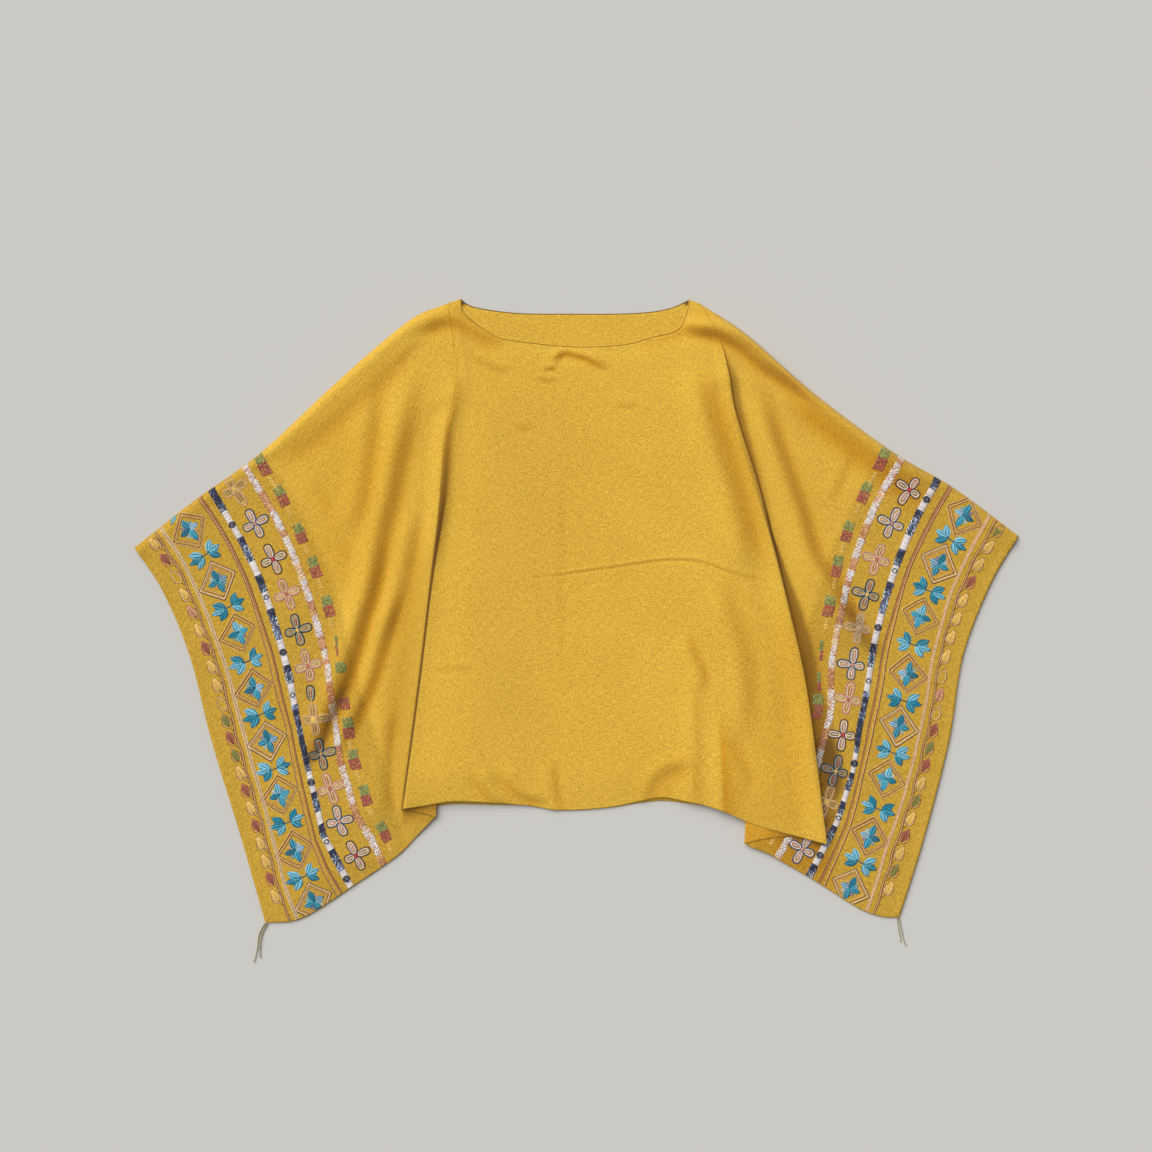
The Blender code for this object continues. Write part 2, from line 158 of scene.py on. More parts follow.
# A soft crease along a path: its ridge is to the left of a path that runs down, and above one that runs
# left. ridge is that side's height, valley the depth beside it, and the widths are about half of each
# one's. tone is the painted shade of its dark side: it comes from its slope, or is given in its own column
CREASES = (
    Crease(((-196, 338), (-205, 305), (-214, 262), (-226, 205), (-237, 150), (-249, 100), (-262, 30),
            (-274, -10), (-286, -52), (-300, -95), (-311, -122), (-328, -158), (-348, -204)), 8, 2.4, 16, 13),
    Crease(((-246, 112), (-262, 30), (-275, -10), (-287, -52), (-301, -95), (-313, -124), (-330, -160),
            (-346, -196), (-352, -225)), 2.5, 1.6, 12, 10),
    Crease(((-202, 140), (-214, 80), (-226, 30), (-242, -22), (-254, -60)), 3.0, 1.2, 13, 11),
    Crease(((-223, 42), (-239, -12), (-252, -50), (-265, -92), (-283, -132), (-299, -172), (-311, -205)),
           4.8, 1.8, 12, 9),
    Crease(((-207, 130), (-219, 20), (-228, -60), (-238, -140), (-241, -215)), 0, 0, 1, 17, 0.34),
    Crease(((-258, 305), (-263, 240), (-270, 180), (-279, 130), (-290, 85)), 3.6, 1.8, 14, 11),
    Crease(((-237, -115), (-242, -170), (-244, -215), (-242, -285)), 2.8, 1.4, 12, 9),
    Crease(((-299, -85), (-316, -122), (-330, -155), (-343, -186), (-353, -212)), 0, 0, 1, 9, 0.85),
    Crease(((-243, -30), (-255, -70), (-270, -112), (-284, -145), (-294, -168)), 0, 0, 1, 7, 0.55),
    Crease(((334, 26), (350, 3), (367, -21), (386, -42), (400, -58)), 0, 0, 1, 8, 0.6),
    Crease(((-346, 172), (-331, 146), (-317, 120)), 1.0, 0.8, 7, 5),
    Crease(((-284, 268), (-298, 200), (-311, 130), (-325, 60), (-338, 0)), 0, 0, 1, 55, 0.34),
    Crease(((-305, 84), (-300, 74), (-294, 64)), 0.8, 0.7, 6, 5),
    Crease(((-84, 343), (-98, 347), (-122, 357), (-141, 367), (-157, 374), (-175, 374), (-192, 366),
            (-210, 351)), 2.4, 2.4, 9, 11, 0.8),
    Crease(((-196, 352), (-214, 338), (-250, 306), (-300, 262), (-350, 220), (-405, 180)),
           2.6, 1.2, 15, 15, 0.5),
    Crease(((-203, 352), (-220, 334), (-238, 317)), 1.0, 0.8, 8, 7),
    Crease(((318, 260), (284, 287), (260, 305), (240, 318), (214, 341), (186, 356), (160, 362),
            (138, 366), (104, 360)), 9, 3.4, 11, 9),
    Crease(((470, 130), (400, 184), (360, 213), (328, 238), (298, 262), (262, 288)), 4.6, 2.0, 16, 17, 1.0),
    Crease(((140, 357), (118, 353), (96, 349), (76, 345)), 0, 0, 1, 9, 0.35),
    Crease(((192, 376), (175, 384), (146, 391)), 1.6, 1.4, 8, 7),
    Crease(((232, 314), (239, 284), (248, 255), (258, 225), (266, 203), (275, 178), (284, 152), (294, 124),
            (301, 98), (309, 75), (321, 52), (336, 33), (354, -5), (374, -38), (388, -60)), 8.0, 2.8, 14, 11),
    Crease(((359, 212), (344, 172), (327, 133)), 1.0, 0.8, 8, 6),
    Crease(((160, 325), (167, 290), (178, 255), (188, 222), (199, 190), (210, 155), (222, 105), (236, 65),
            (246, 38)), 7, 1.8, 19, 17, 0.8),
    Crease(((178, 50), (192, 22), (203, -8), (213, -35), (220, -62), (223, -100), (226, -175)),
           3.6, 1.6, 15, 13),
    Crease(((140, -30), (154, -58), (164, -80), (171, -105)), 2.8, 1.8, 9, 6),
    Crease(((190, -172), (207, -187), (219, -212), (226, -236)), 2.2, 1.6, 10, 9),
    Crease(((158, -210), (136, -203), (118, -208), (104, -221), (96, -240), (92, -266)),
           2.6, 2.8, 9, 18, 0.45),
    Crease(((262, 40), (268, -20), (268, -100), (262, -190), (256, -330)), 0, 0, 1, 46, 0.36),
    Crease(((-38, -254), (-58, -247), (-80, -236), (-94, -218), (-100, -200)), 3.4, 2.4, 9, 8, 0.6),
    Crease(((-84, -256), (-108, -246), (-124, -228), (-133, -205)), 2.6, 2.0, 8, 6, 0.55),
    Crease(((-33, -192), (-28, -225), (-20, -262), (-15, -290)), 1.8, 1.8, 8, 6),
    Crease(((266, 36), (230, 42), (200, 50), (160, 64), (125, 66), (100, 64), (50, 57), (0, 50), (-30, 46),
            (-74, 44)), 0.8, 0.7, 1.9, 1.9),
    Crease(((-20, 200), (-20, 40), (-22, -125)), 0.4, 0.4, 4, 4),
    Crease(((43, 309), (18, 324), (2, 330), (-10, 333), (-21, 331), (-34, 317)), 4.0, 2.2, 6, 5),
    Crease(((-26, 314), (-35, 313), (-44, 312)), 2.0, 1.2, 3.5, 3),
    Crease(((-23, 298), (-36, 299), (-53, 300)), 1.6, 1.0, 3.5, 3),
    Crease(((-84, 309), (-108, 315), (-137, 332)), 1.4, 1.0, 6, 5),
    Crease(((79, 264), (64, 265), (51, 268)), 1.0, 0.8, 4, 4),
    Crease(((-55, 234), (-68, 237), (-83, 239)), 1.0, 0.8, 4, 4),
    Crease(((-127, -73), (-157, -75), (-188, -74)), 0.8, 0.6, 4, 4),
)
# Extra height of the body's folded edge at each pleat, against the height up the panel
EDGE_LIFT = {
    "left": ((-257, -235, -190, 0, 60), (5, 4, 1.0, 0.6, 0)),
    "right": ((-303, -270, -200, -100, 0, 60, 120, 250, 300, 345), (5, 5, 4, 4, 4.5, 3, 0.6, 1, 1, 0)),
}
LIFT_FADE = 38.0  # how far in from its edge the body takes to come down again

Ridge = namedtuple("Ridge", "path heights gentle steep tone")
# A pressed ridge: its crest runs down the path with a height at each point. The cloth falls gently to the
# left of it and steeply to the right, over these widths, and tone is the painted shade of the steep side
RIDGES = (
    Ridge(((-152, 308), (-154, 285), (-161, 255), (-168, 229), (-172, 180), (-175, 138), (-181, 90),
           (-187, 50), (-192, 10), (-205, -100), (-226, -262)),
          (0, 2.5, 5, 7, 8.5, 8.5, 6.5, 3, 1.5, 1.2, 1.2), 26, 17, 0),
    Ridge(((188, 346), (193, 326), (198, 300), (206, 254), (222, 205), (240, 144), (252, 98), (264, 48),
           (272, 12), (284, -45), (298, -105), (312, -205), (325, -310)),
          (0, 2.5, 5.5, 7.5, 6.5, 4.5, 1.5, 2.5, 4, 4, 4, 3, 2), 34, 17, 0),
    Ridge(((183, -130), (185, -170), (187, -215), (188, -255), (189, -300)),
          (0, 3, 4, 4, 4), 18, 42, 1.2),
    Ridge(((154, -70), (153, -110), (153, -170), (152, -230), (150, -300)),
          (0, 1.8, 2.4, 2.4, 2.2), 26, 19, 0.5),
)
# Painted shade where a pleat shades the cloth: which cloth, heights up the panel, widths and strengths
PleatShade = namedtuple("PleatShade", "on_body at width strength")
PLEAT_SHADE = {
    "left": PleatShade(
        True, (-257, 40, 80, 120, 170, 220, 260, 290, 305), (6, 6, 11, 15, 18, 18, 17, 16, 14),
        (0, 0, 0.7, 1, 1, 0.9, 0.75, 0.5, 0)),
    "right": PleatShade(
        False, (-303, -270, -200, -130, -50, 0, 50, 100, 150, 200, 250, 300, 335, 348),
        (20, 26, 40, 40, 34, 30, 20, 11, 15, 20, 21, 17, 12, 10),
        (0.6, 0.8, 0.9, 0.9, 0.9, 1, 0.9, 0.7, 0.9, 1, 1, 0.9, 0.6, 0)),
}
CreviceShadow = namedtuple("CreviceShadow", "at strength middle half")
# Painted shadow line in the crevice beside each folded edge: heights up the panel, and there its
# strength, the place of its middle from the edge, positive on the body, and half its width
CREVICE_SHADOW = {
    "left": CreviceShadow(
        (-262, -256, -240, -100, 0, 50, 100, 150, 200, 240, 285, 300),
        (0, 0.7, 0.95, 0.95, 0.95, 0.95, 0.9, 0.6, 0.4, 0.15, 0.1, 0),
        (0.3, 0.3, 0.3, 0.5, 0.8, 1.0, 1.4, 1.8, 2.5, 3, 3, 3),
        (1.7, 1.7, 1.7, 2.0, 2.1, 2.4, 3.6, 6, 6.5, 6, 5, 5)),
    "right": CreviceShadow(
        (-308, -302, -280, -200, -130, -100, -50, 0, 50, 100, 150, 200, 250, 300, 335, 348),
        (0, 0.4, 0.5, 0.55, 0.6, 0.6, 0.6, 0.6, 0.6, 0.85, 0.5, 0.42, 0.4, 0.4, 0.2, 0),
        (-3, -5, -9, -15, -13, -11, -11, -9, -4, -0.3, 0.5, -1, -5, -5, -1, 0),
        (5, 7, 12, 20, 17, 13, 13, 12, 7, 3.2, 5.5, 9, 9, 9, 6, 3)),
}
# Painted shade deep in the folds that run into the borders, on cloth and embroidery: path, width, strength
FOLD_SHADOWS = (
    (((-294, -80), (-304, -106), (-313, -125), (-322, -146), (-331, -172), (-346, -197), (-360, -214)),
     6.5, 0.72),
    (((-272, -110), (-286, -138), (-299, -168)), 6.0, 0.35),
    (((338, 18), (352, 2), (362, -14), (372, -34), (386, -52), (402, -72)), 12.0, 0.55),
    (((316, -155), (328, -190), (338, -215), (352, -250)), 17.0, 0.45),
)
STITCH_FOLD_SHADOW = 0.7  # how much of that painted shade the embroidery takes
FULL_SHADE_SLOPE = 1.25  # slope of a crease whose dark side gets the full painted shade
HEM_SHADOW_TONE, HEM_SHADOW_DARK = 0.9, 0.72  # tone and darkness of the painted shadow on the cloth under the body's hem beside a pleat
HEM_SHADE_REACH = 17.0  # how soon they fade down from it
HEM_SHADE_SPAN, HEM_SHADE_FADE = 50.0, 30.0  # how far they reach in from the pleat, and fade there
# Height of the roll along the shoulders and the neck's corners, against the place across
ROLL = ((-574, -480, -400, -300, -240, -200, -172, -153, 150, 172, 200, 230, 300, 400, 480, 574),
        (2.0, 3.0, 3.6, 4.0, 4.5, 4.2, 2.5, 0, 0, 3, 5, 5.5, 5, 4, 3, 2.5))

# How far the embroidered rows lie from their own distance to the cuff, where the cloth's folds take some of
# it up: distances along the cuff, distances from it, and a line of shifts for each distance along the cuff
DRIFT_ALONG = (0, 45, 100, 165, 220, 290, 360, 435, 475, 519)
DRIFT_FROM = (0, 42, 68, 101, 119, 147, 172, 193)
DRIFT = {
    "left": (
        (0, 1.5, 5, 6, 7, 5, 6.5, 7), (0, 1.5, 5, 6, 3, 1, 3.5, 4),
        (0, -1, 4, 4, 3, 1, 2, 1), (0, -1, 3, 0.5, 0, -2.5, -1.5, 0),
        (0, 1.5, 4, 0, 0, -1, -1, -5), (0, 1.5, 4, 0, -4, -12, -8, -14),
        (0, 0, -4, -8, -10, -18, -20, -23), (0, -3, -5, -12, -16, -18.5, -20, -21),
        (0, -4, -3, -8, -7, -11, -9, -11), (0, -1, 2, 1, 1, -5, -3, -8),
    ),
    "right": (
        (0, 5, 10, 8, 11, 6.5, 11, 13), (0, 3.5, 6, 7, 8, 5, 9, 9),
        (0, 2, 5, 6, 4.5, 3, 5, 6), (0, -3, 1, 1, 0, -5, -2, -6),
        (0, -4, -1, 1.5, -1, -6, -4, -10), (0, -1.5, 1, 4, 1, -7, -13, -16),
        (0, -2, 0, 1.5, -6, -13, -12, -17), (0, 2, 0, -1, -4, -12, -12, -16),
        (0, 1, 2, 3, 2, -4, -7, -10), (0, 0, 5, 6, 8, 3, 0, -4),
    ),
}

# Embroidery: where the repeats of each row stand along the cuff, and their distances from it
LEAVES_AT = {"left": np.linspace(13, 484, 21), "right": np.linspace(11, 485, 21)}
DIAMONDS_AT = {"left": (26, 88, 150, 217, 290, 361, 434, 507),
               "right": (22, 82, 144, 207, 277, 351, 431, 505)}
BOWS_AT = {"left": (-6, 57, 119, 183, 252, 327, 397, 470),
           "right": (-9, 53, 114, 175, 240, 315, 392, 468)}
FLOWERS_AT = {"left": (19, 57, 94, 132, 170, 211, 262, 288, 337, 384, 429, 483),
              "right": (32, 67, 107, 144, 176, 211, 258, 317, 369, 415, 455, 493)}
SQUARES_AT = {"left": (6, 46, 79, 114, 154, 193, 226, 266, 312, 356, 407, 466),
              "right": (9, 50, 87, 123, 160, 198, 232, 270, 315, 360, 410, 466)}
# Petals that show of a flower where the cloth folds the others away, by its number down the row
FLOWERS_SHOWN = {"left": {6: (2,)}, "right": {}}
# How much of the green and red squares shows where the cloth folds them away, by their number down the row
SQUARES_SHOWN = {"left": {5: (0.3, 0.25), 6: (1, 0), 7: (0, 1)},
                 "right": {5: (0.4, 0.3), 6: (0.3, 0.3), 7: (1, 0.8), 8: (0, 0)}}
LEAF_D, VINE_D, CREAM_D, DIAMOND_D, BROWN_D, CORD_D, FLOWER_D, LADDER_D, SQUARE_D = (
    24.0, 31.5, 41.5, 68, 101, 119, 147, 172.5, 192)
LEAF_COLOURS = {
    "left": "gold red bare gold pink gold red gold gold bare olive "
            "red olive gold red gold red gold gold red gold",
    "right": "olive gold gold red gold gold gold gold bare pink bare "
             "red olive red gold olive gold red gold olive gold",
}
# Leaf: from its middle to its base, its tip and its stalk's end, and the widths of filling and outlines
LEAF_BASE, LEAF_TIP, LEAF_STALK, LEAF_WIDTHS = (9.5, 2.6), (-11.0, -2.4), (15.0, 6.5), (9.8, 10.6, 13.4)
PETAL_REACH = (20.5, 18.0, 21.0, 17.5)  # of a flower's petals, from the first one down the row on round
CORD_WIDTH, CORD_PITCH = 11.2, 1.15  # width of the cord, and distance between the threads laid across it
LADDER_WIDTH, LADDER_PITCH, RUNG_PITCH = 9.2, 2.3, 4.7  # the same for the ladder, and between its crosses
SQUARE_STEP, ZIGZAG_AT, ZIGZAG_STEP = 13.6, 24.5, 3.4  # from a green square to its red one and its zigzags
# Blocks of the cord with their lengths: plain, mixed, or white and black ones with a ring sewn on
CORD_BLOCKS = (
    ("navy", 12), ("navy", 12), ("mixed", 9), ("white", 10), ("black_ring", 9.5), ("white", 8),
    ("navy", 8.5), ("mixed", 17), ("white", 16), ("navy", 11), ("mixed", 8), ("white_ring", 12),
    ("white", 7), ("navy", 10), ("mixed", 14), ("lilac", 9), ("white", 9), ("black_ring", 9.5),
    ("white", 10), ("navy", 9), ("mixed", 15), ("white", 12), ("white_ring", 9), ("white", 9),
    ("lilac", 8), ("navy", 9), ("lilac_ring", 8), ("navy", 9), ("mixed", 12), ("navy", 16)
)
# Lengths of the ladder: their colour and how long they are on the cloth
LADDER_BLOCKS = (
    ("white", 41), ("rust", 29), ("white", 29), ("rust", 9), ("white", 40), ("cream", 20),
    ("white", 30), ("rust", 20), ("white", 28), ("rust", 15), ("white", 15), ("rust", 7),
    ("white", 23), ("rust", 30), ("cream", 26), ("white", 30), ("rust", 28), ("white", 50),
    ("rust", 32)
)
# Each kind of flower: its outline, the line inside it, the fillings down and across the row, and its heart
FLOWER_COLOURS = {
    "pale": "tan straw brown olive yellow", "dark": "slate white pink pink pink",
    "crimson": "umber white pink olive crimson", "rose": "pink cream rust straw rust",
    "night": "navy sage crimson rust gold", "faint": "tan cream straw bare cream",
}
FLOWER_KINDS = {
    "left": "pale dark crimson rose night rose night pale night rose dark crimson",
    "right": "crimson dark rose night faint dark rose crimson night pale rose dark",
}

PALETTE = {
    "gold": (0.82, 0.50, 0.13), "tan": (0.76, 0.42, 0.17), "brown": (0.30, 0.115, 0.03),
    "umber": (0.125, 0.042, 0.014), "orange": (0.60, 0.25, 0.05), "cream": (0.86, 0.64, 0.42),
    "pink": (0.62, 0.28, 0.21), "rust": (0.47, 0.15, 0.07), "red": (0.33, 0.06, 0.05),
    "crimson": (0.52, 0.04, 0.05), "olive": (0.28, 0.20, 0.04), "bare": (0.66, 0.43, 0.09),
    "green": (0.17, 0.26, 0.055), "leaf": (0.33, 0.40, 0.12), "yellow": (0.86, 0.58, 0.10),
    "turquoise": (0.010, 0.27, 0.39), "teal": (0.004, 0.12, 0.18), "sky": (0.11, 0.46, 0.61),
    "pale": (0.46, 0.68, 0.78), "white": (0.82, 0.76, 0.74), "lilac": (0.22, 0.21, 0.36),
    "slate": (0.055, 0.075, 0.12), "sage": (0.34, 0.44, 0.36), "navy": (0.018, 0.023, 0.055),
    "straw": (0.68, 0.47, 0.20),
}
COLOURS = list(PALETTE)

Tail = namedtuple("Tail", "name nodes routes radius")
TAILS = (
    Tail("thread_tails_left", ("thread_left_long", "thread_left_short"),
         (((-404.4, -406.9), (-412, -421), (-414.5, -440), (-419, -458)),
          ((-401.4, -407.0), (-408.6, -422), (-411, -440), (-411, -452))), 1.0),
    Tail("thread_tails_right", ("thread_right_long", "thread_right_short"),
         (((419.4, -399.6), (422, -414), (425, -428), (428, -437)),
          ((416.9, -399.7), (418.6, -414), (421, -426), (421, -432))), 0.8),
)

TAIL_CLEARANCE = 0.3  # lowest point of a tail over the surface
TAIL_POINTS = 46  # rings along a tail
TAIL_PARTS = 0.78  # share of its length from which the two plies part
PLY_TURN = 7.5  # length of one turn of the plies
PLY_REACH = 0.42  # distance of a ply from the tail's middle, over the tail's radius

FLOOR_HALF, FLOOR_LEVEL = 9000.0, -0.3  # half the floor's width, and its level just under the cloth
KEY_FROM, KEY_SPREAD = (-1.35, 1.55, 2.15), 58  # where the key light comes from, and its size in degrees
CAMERA_AT = (-0.00065, 0.0442, 2.6)  # camera straight above the middle of the picture, in metres
CAMERA_FILM = (36.0, 62.5)  # its sensor's width and its focal length
WARP_PITCH, WEFT_PITCH = 0.00125, 0.0013  # one wave of the weave, two threads, across and down in metres
TWIST_PITCH = 0.0009  # one turn of the embroidery thread's plies
BACKDROP = (1.0, 0.99, 0.97, 1.0)  # colour of the even light all round


# Curves and surfaces


def smoothstep(x):
    """0 below 0, 1 above 1, and 3x^2 - 2x^3 between."""
    x = np.clip(x, 0, 1)
    return x * x * (3 - 2 * x)


def unit(vectors):
    """Vectors over their own length."""
    return vectors / np.linalg.norm(vectors, axis=-1, keepdims=True)


def square_to(vectors):
    """Vectors turned by a quarter in plan, from +X to +Y."""
    return np.stack([-vectors[..., 1], vectors[..., 0]], axis=-1)


def run_along(points):
    """Distance run along a line of points, at each of them."""
    return np.append(0, np.cumsum(np.linalg.norm(np.diff(points, axis=0), axis=1)))


def nearest_gap(points, x, y):
    """Distance of each place to the nearest of the points."""
    return np.linalg.norm(np.stack([x, y], axis=-1)[..., None, :] - points, axis=-1).min(axis=-1)


def along(points, shares):
    """Points of a smooth curve through the given ones, at shares of its length.

    Each span is a cubic, and at each point the curve heads from the point before it to the one after it.
    """
    points = np.asarray(points, float)
    ends = np.vstack([2 * points[0] - points[1], points, 2 * points[-1] - points[-2]])
    t = np.linspace(0, 1, 16, endpoint=False)[:, None]
    spans = [
        0.5 * (2 * b + (c - a) * t + (2 * a - 5 * b + 4 * c - d) * t ** 2 + (3 * b - a - 3 * c + d) * t ** 3)
        for a, b, c, d in zip(ends, ends[1:], ends[2:], ends[3:])
    ]
    line = np.vstack(spans + [points[-1:]])
    run = run_along(line)
    return np.stack([np.interp(shares, run / run[-1], line[:, k]) for k in range(line.shape[1])], axis=-1)


def length(points):
    """Length of the smooth curve through the points."""
    fine = along(points, np.linspace(0, 1, EDGE_POINTS))
    return np.linalg.norm(np.diff(fine, axis=0), axis=1).sum()


def coons(top, bottom, left, right, across, down):
    """Surface between four edges: top and bottom run across, left and right down, at the given shares.

    It is the straight mix of each pair of edges, added, less the straight mix of the four corners.
    """
    s = across[None, :, None]
    v = down[:, None, None]
    edges = (1 - v) * top[None] + v * bottom[None] + (1 - s) * left[:, None] + s * right[:, None]
    corners = (1 - v) * ((1 - s) * top[0] + s * top[-1]) + v * ((1 - s) * bottom[0] + s * bottom[-1])
    return edges - corners


class Side:
    """One side's pleat in one panel: where its folds run and how far they have turned."""

    def __init__(self, name, panel):
        self.name = name
        self.panel = panel
        self.inward = 1 if name == "left" else -1
        self.pleat = PLEAT[name]
        rows = panel.rows
        self.outer = along(FOLD[name], rows)
        self.outer[:, 0] += self.inward * panel.inset * smoothstep(rows / 0.2)
        y = self.outer[:, 1]
        self.begun = smoothstep((self.pleat.starts - y) / (self.pleat.starts - self.pleat.full))
        self.turn = pi * self.begun
        self.hem_y = FOLD[name][-1][1]
        overlap = self.pleat.hem_overlap - panel.overlap_less
        self.overlap = overlap * np.clip((self.pleat.apex - y) / (self.pleat.apex - self.hem_y), 0, 1)
        self.middle = np.maximum(SMALLEST_MID, self.overlap - LAYER)
        tilt = np.radians(np.interp(rows, *TILT[name]))
        self.across = np.stack([self.inward * np.cos(tilt), np.sin(tilt)], axis=1)
        self.offset, self.height = self.section()
        self.rise = self.height[-1, -1] * self.begun

    def section(self):
        """The pleat's section in each row, from the wing to the body: offset inward and height.

        The cloth turns up and back on itself round the inner fold, runs out as the middle layer, and turns
        again round the outer fold. Both turns keep their length, so a pleat opens out flat at its top.
        """
        step = (np.arange(TURN_STEPS) + 0.5) / TURN_STEPS
        heading = np.concatenate([step, np.ones(MID_STEPS), 1 - step]) * self.turn[:, None]
        turning = np.full((len(self.turn), TURN_STEPS), TURN_LENGTH / TURN_STEPS)
        middle = np.repeat(self.middle[:, None] / MID_STEPS, MID_STEPS, axis=1)
        stride = np.hstack([turning, middle, turning])
        start = np.zeros((len(self.turn), 1))
        offset = np.hstack([start, np.cumsum(stride * np.cos(heading), axis=1)])
        height = np.hstack([start, np.cumsum(stride * np.sin(heading), axis=1)])
        outer_fold = TURN_STEPS + MID_STEPS + TURN_STEPS // 2
        return offset - offset[:, outer_fold:outer_fold + 1], height

    def at(self, y, values):
        """A value of the rows, read at any distance up the panel."""
        return np.interp(y, self.outer[::-1, 1], values[::-1])

    def cover(self, x, y):
        """1 over the pleat, falling to 0 out over the wing and below the body's hem."""
        across = smoothstep((self.from_fold(x, y) + SHELF + DRAPE) / DRAPE)
        return across * smoothstep((y - self.hem_y + HEM_SHELF + HEM_DRAPE) / HEM_DRAPE)

    def under_body(self, x, y):
        """1 from the pleat's outer fold to its inner fold, falling to 0 towards the body's middle."""
        inner = self.at(y, self.outer[:, 0]) + self.inward * self.at(y, self.overlap)
        return 1 - smoothstep((self.inward * (x - inner) - SHELF) / BODY_DRAPE)

    def from_fold(self, x, y):
        """Distance from the pleat's folded edge, positive towards the body."""
        return self.inward * (x - self.at(y, self.outer[:, 0]))

    def room(self, x, y, on_body):
        """Distance from the folded edge on one side of it, and a wide stretch more where there is no fold."""
        away = self.from_fold(x, y) if on_body else -self.from_fold(x, y)
        return away + OPEN_CLOTH * (1 - self.at(y, self.begun))


def beside(path, x, y):
    """Place of each point beside a path that runs down: share of the way, distance to the left, overshoot.

    The nearest of its even points is found first, then the foot of the perpendicular beside that one.
    """
    last = CREASE_POINTS - 1
    line = along(path, np.linspace(0, 1, CREASE_POINTS))
    heading = np.gradient(line, axis=0)
    step = np.linalg.norm(heading, axis=1)
    heading /= step[:, None]
    point = np.stack([x, y], axis=-1)
    nearest = np.argmin(((point[..., None, :] - line) ** 2).sum(axis=-1), axis=-1)
    ahead = ((point - line[nearest]) * heading[nearest]).sum(axis=-1)
    foot = np.clip(nearest + ahead / step[nearest], 0, last)
    before = np.minimum(foot.astype(int), last - 1)
    part = (foot - before)[..., None]
    tangent = heading[before] * (1 - part) + heading[before + 1] * part
    gap = point - line[before] * (1 - part) - line[before + 1] * part
    left = tangent[..., 1] * gap[..., 0] - tangent[..., 0] * gap[..., 1]
    return foot / last, left, (tangent * gap).sum(axis=-1)


def fade(share, beyond, ends):
    """1 along a path, with a smooth rise over a share at each of its ends and a bell curve past them."""
    return smoothstep(np.minimum(share, 1 - share) / ends) * np.exp(-(beyond / CREASE_FADE) ** 2)


def crease_maps(x, y):
    """Relief and painted shade that the creases give each point.

    A crease is one bell curve up on its ridge side and one down beside it, each 0.8 of its width from the
    path, and it paints shade as a bell a quarter of the valley's width from the path. It fades in and
    out over its first and last quarter.
    """
    relief, tone = np.zeros_like(x), np.zeros_like(x)
    for crease in CREASES:
        share, left, beyond = beside(crease.path, x, y)
        strength = fade(share, beyond, CREASE_ENDS)
        ridge = crease.ridge * np.exp(-(left / crease.ridge_width - BELL_AT) ** 2)
        valley = crease.valley * np.exp(-(left / crease.valley_width + BELL_AT) ** 2)
        relief += strength * (ridge - valley)
        slope = (crease.ridge + crease.valley) / crease.valley_width
        full = min(1.0, slope / FULL_SHADE_SLOPE) if crease.tone is None else crease.tone
        # painted shade on the crease's dark side
        tone += full * strength * np.exp(-(left / crease.valley_width + SHADE_AT) ** 2)
    return relief, tone


def fold_shade(x, y):
    """Painted shade in the narrow folds: a bell curve across each path, which fades in and out along it."""
    dark = np.zeros_like(x)
    for path, width, strength in FOLD_SHADOWS:
        share, left, beyond = beside(path, x, y)
        along_it = strength * fade(share, beyond, FOLD_ENDS)
        dark = np.maximum(dark, along_it * np.exp(-(left / width) ** 2))
    return dark


def ridge_maps(x, y):
    """Relief and painted shade of the pressed ridges: a half cosine wave on the gentle side, a square fall on
    the steep one, which has the painted shade.
    """
    relief, tone = np.zeros_like(x), np.zeros_like(x)
    for ridge in RIDGES:
        share, left, beyond = beside(ridge.path, x, y)
        step = np.linalg.norm(np.diff(np.array(ridge.path, float), axis=0), axis=1)
        run = np.append(0, np.cumsum(step)) / step.sum()
        height = np.interp(share, run, ridge.heights) * np.exp(-(beyond / CREASE_FADE) ** 2)
        gentle = (1 + np.cos(pi * np.clip(left / ridge.gentle, 0, 1))) / 2
        steep = (1 - np.clip(-left / ridge.steep, 0, 1)) ** 2
        relief += height * np.where(left > 0, gentle, steep)
        # painted shade on the steep side
        tone += ridge.tone * height / max(ridge.heights) * steep * smoothstep(0.5 - left / 3)
    return relief, tone


def neck_gap(x, y):
    """Distance to the front's neck edge."""
    return nearest_gap(along(FRONT.neck, np.linspace(0, 1, EDGE_POINTS)), x, y)


def loft(x, y, share):
    """Height of the front over the back at a share of the way down: close where sewn and at the hem."""
    sewn = np.minimum(share * PANEL_LENGTH, neck_gap(x, y))
    from_hem = (1 - share) * PANEL_LENGTH
    return SEAM + (LOFT - SEAM) * smoothstep(sewn / SEWN_REACH) * smoothstep(from_hem / CLOSED_AT_HEM)


def front_relief(x, y, share, from_cuff, from_pleat, top):
    """Height of the front over its lowest lie: air under it, soft creases and the shoulder roll.

    share is the way down the panel, from_cuff and from_pleat are the distances to the edges that hold the
    cloth down, and top is where the column starts across.
    """
    from_top = share * PANEL_LENGTH
    down = np.minimum(from_top, neck_gap(x, y))
    off_hem = smoothstep((PANEL_LENGTH - from_top) / PUFF_REACH)
    edge_gap = np.minimum(from_cuff, from_pleat - PLEAT_REACH)
    held = smoothstep(edge_gap / PUFF_REACH) * off_hem
    open_cloth = smoothstep(from_pleat / CREASE_REACH) * smoothstep(from_cuff / SEAM_REACH)
    creased = crease_maps(x, y)[0] * open_cloth * smoothstep(down / SEAM_REACH)
    corners = np.array([FRONT.neck[0], FRONT.neck[-1]], float)
    calm = smoothstep(nearest_gap(corners, x, y) / CORNER_REACH)
    relief = calm * np.maximum(PUFF_HEIGHT * held * smoothstep(down / NECK_REACH) + creased, 0)
    roll = np.interp(top, *ROLL) * smoothstep(down / (ROLL_CLIMB * ROLL_WIDTH))
    return relief + calm * roll * (1 - smoothstep((from_top / ROLL_WIDTH - ROLL_CLIMB) / ROLL_FALL))


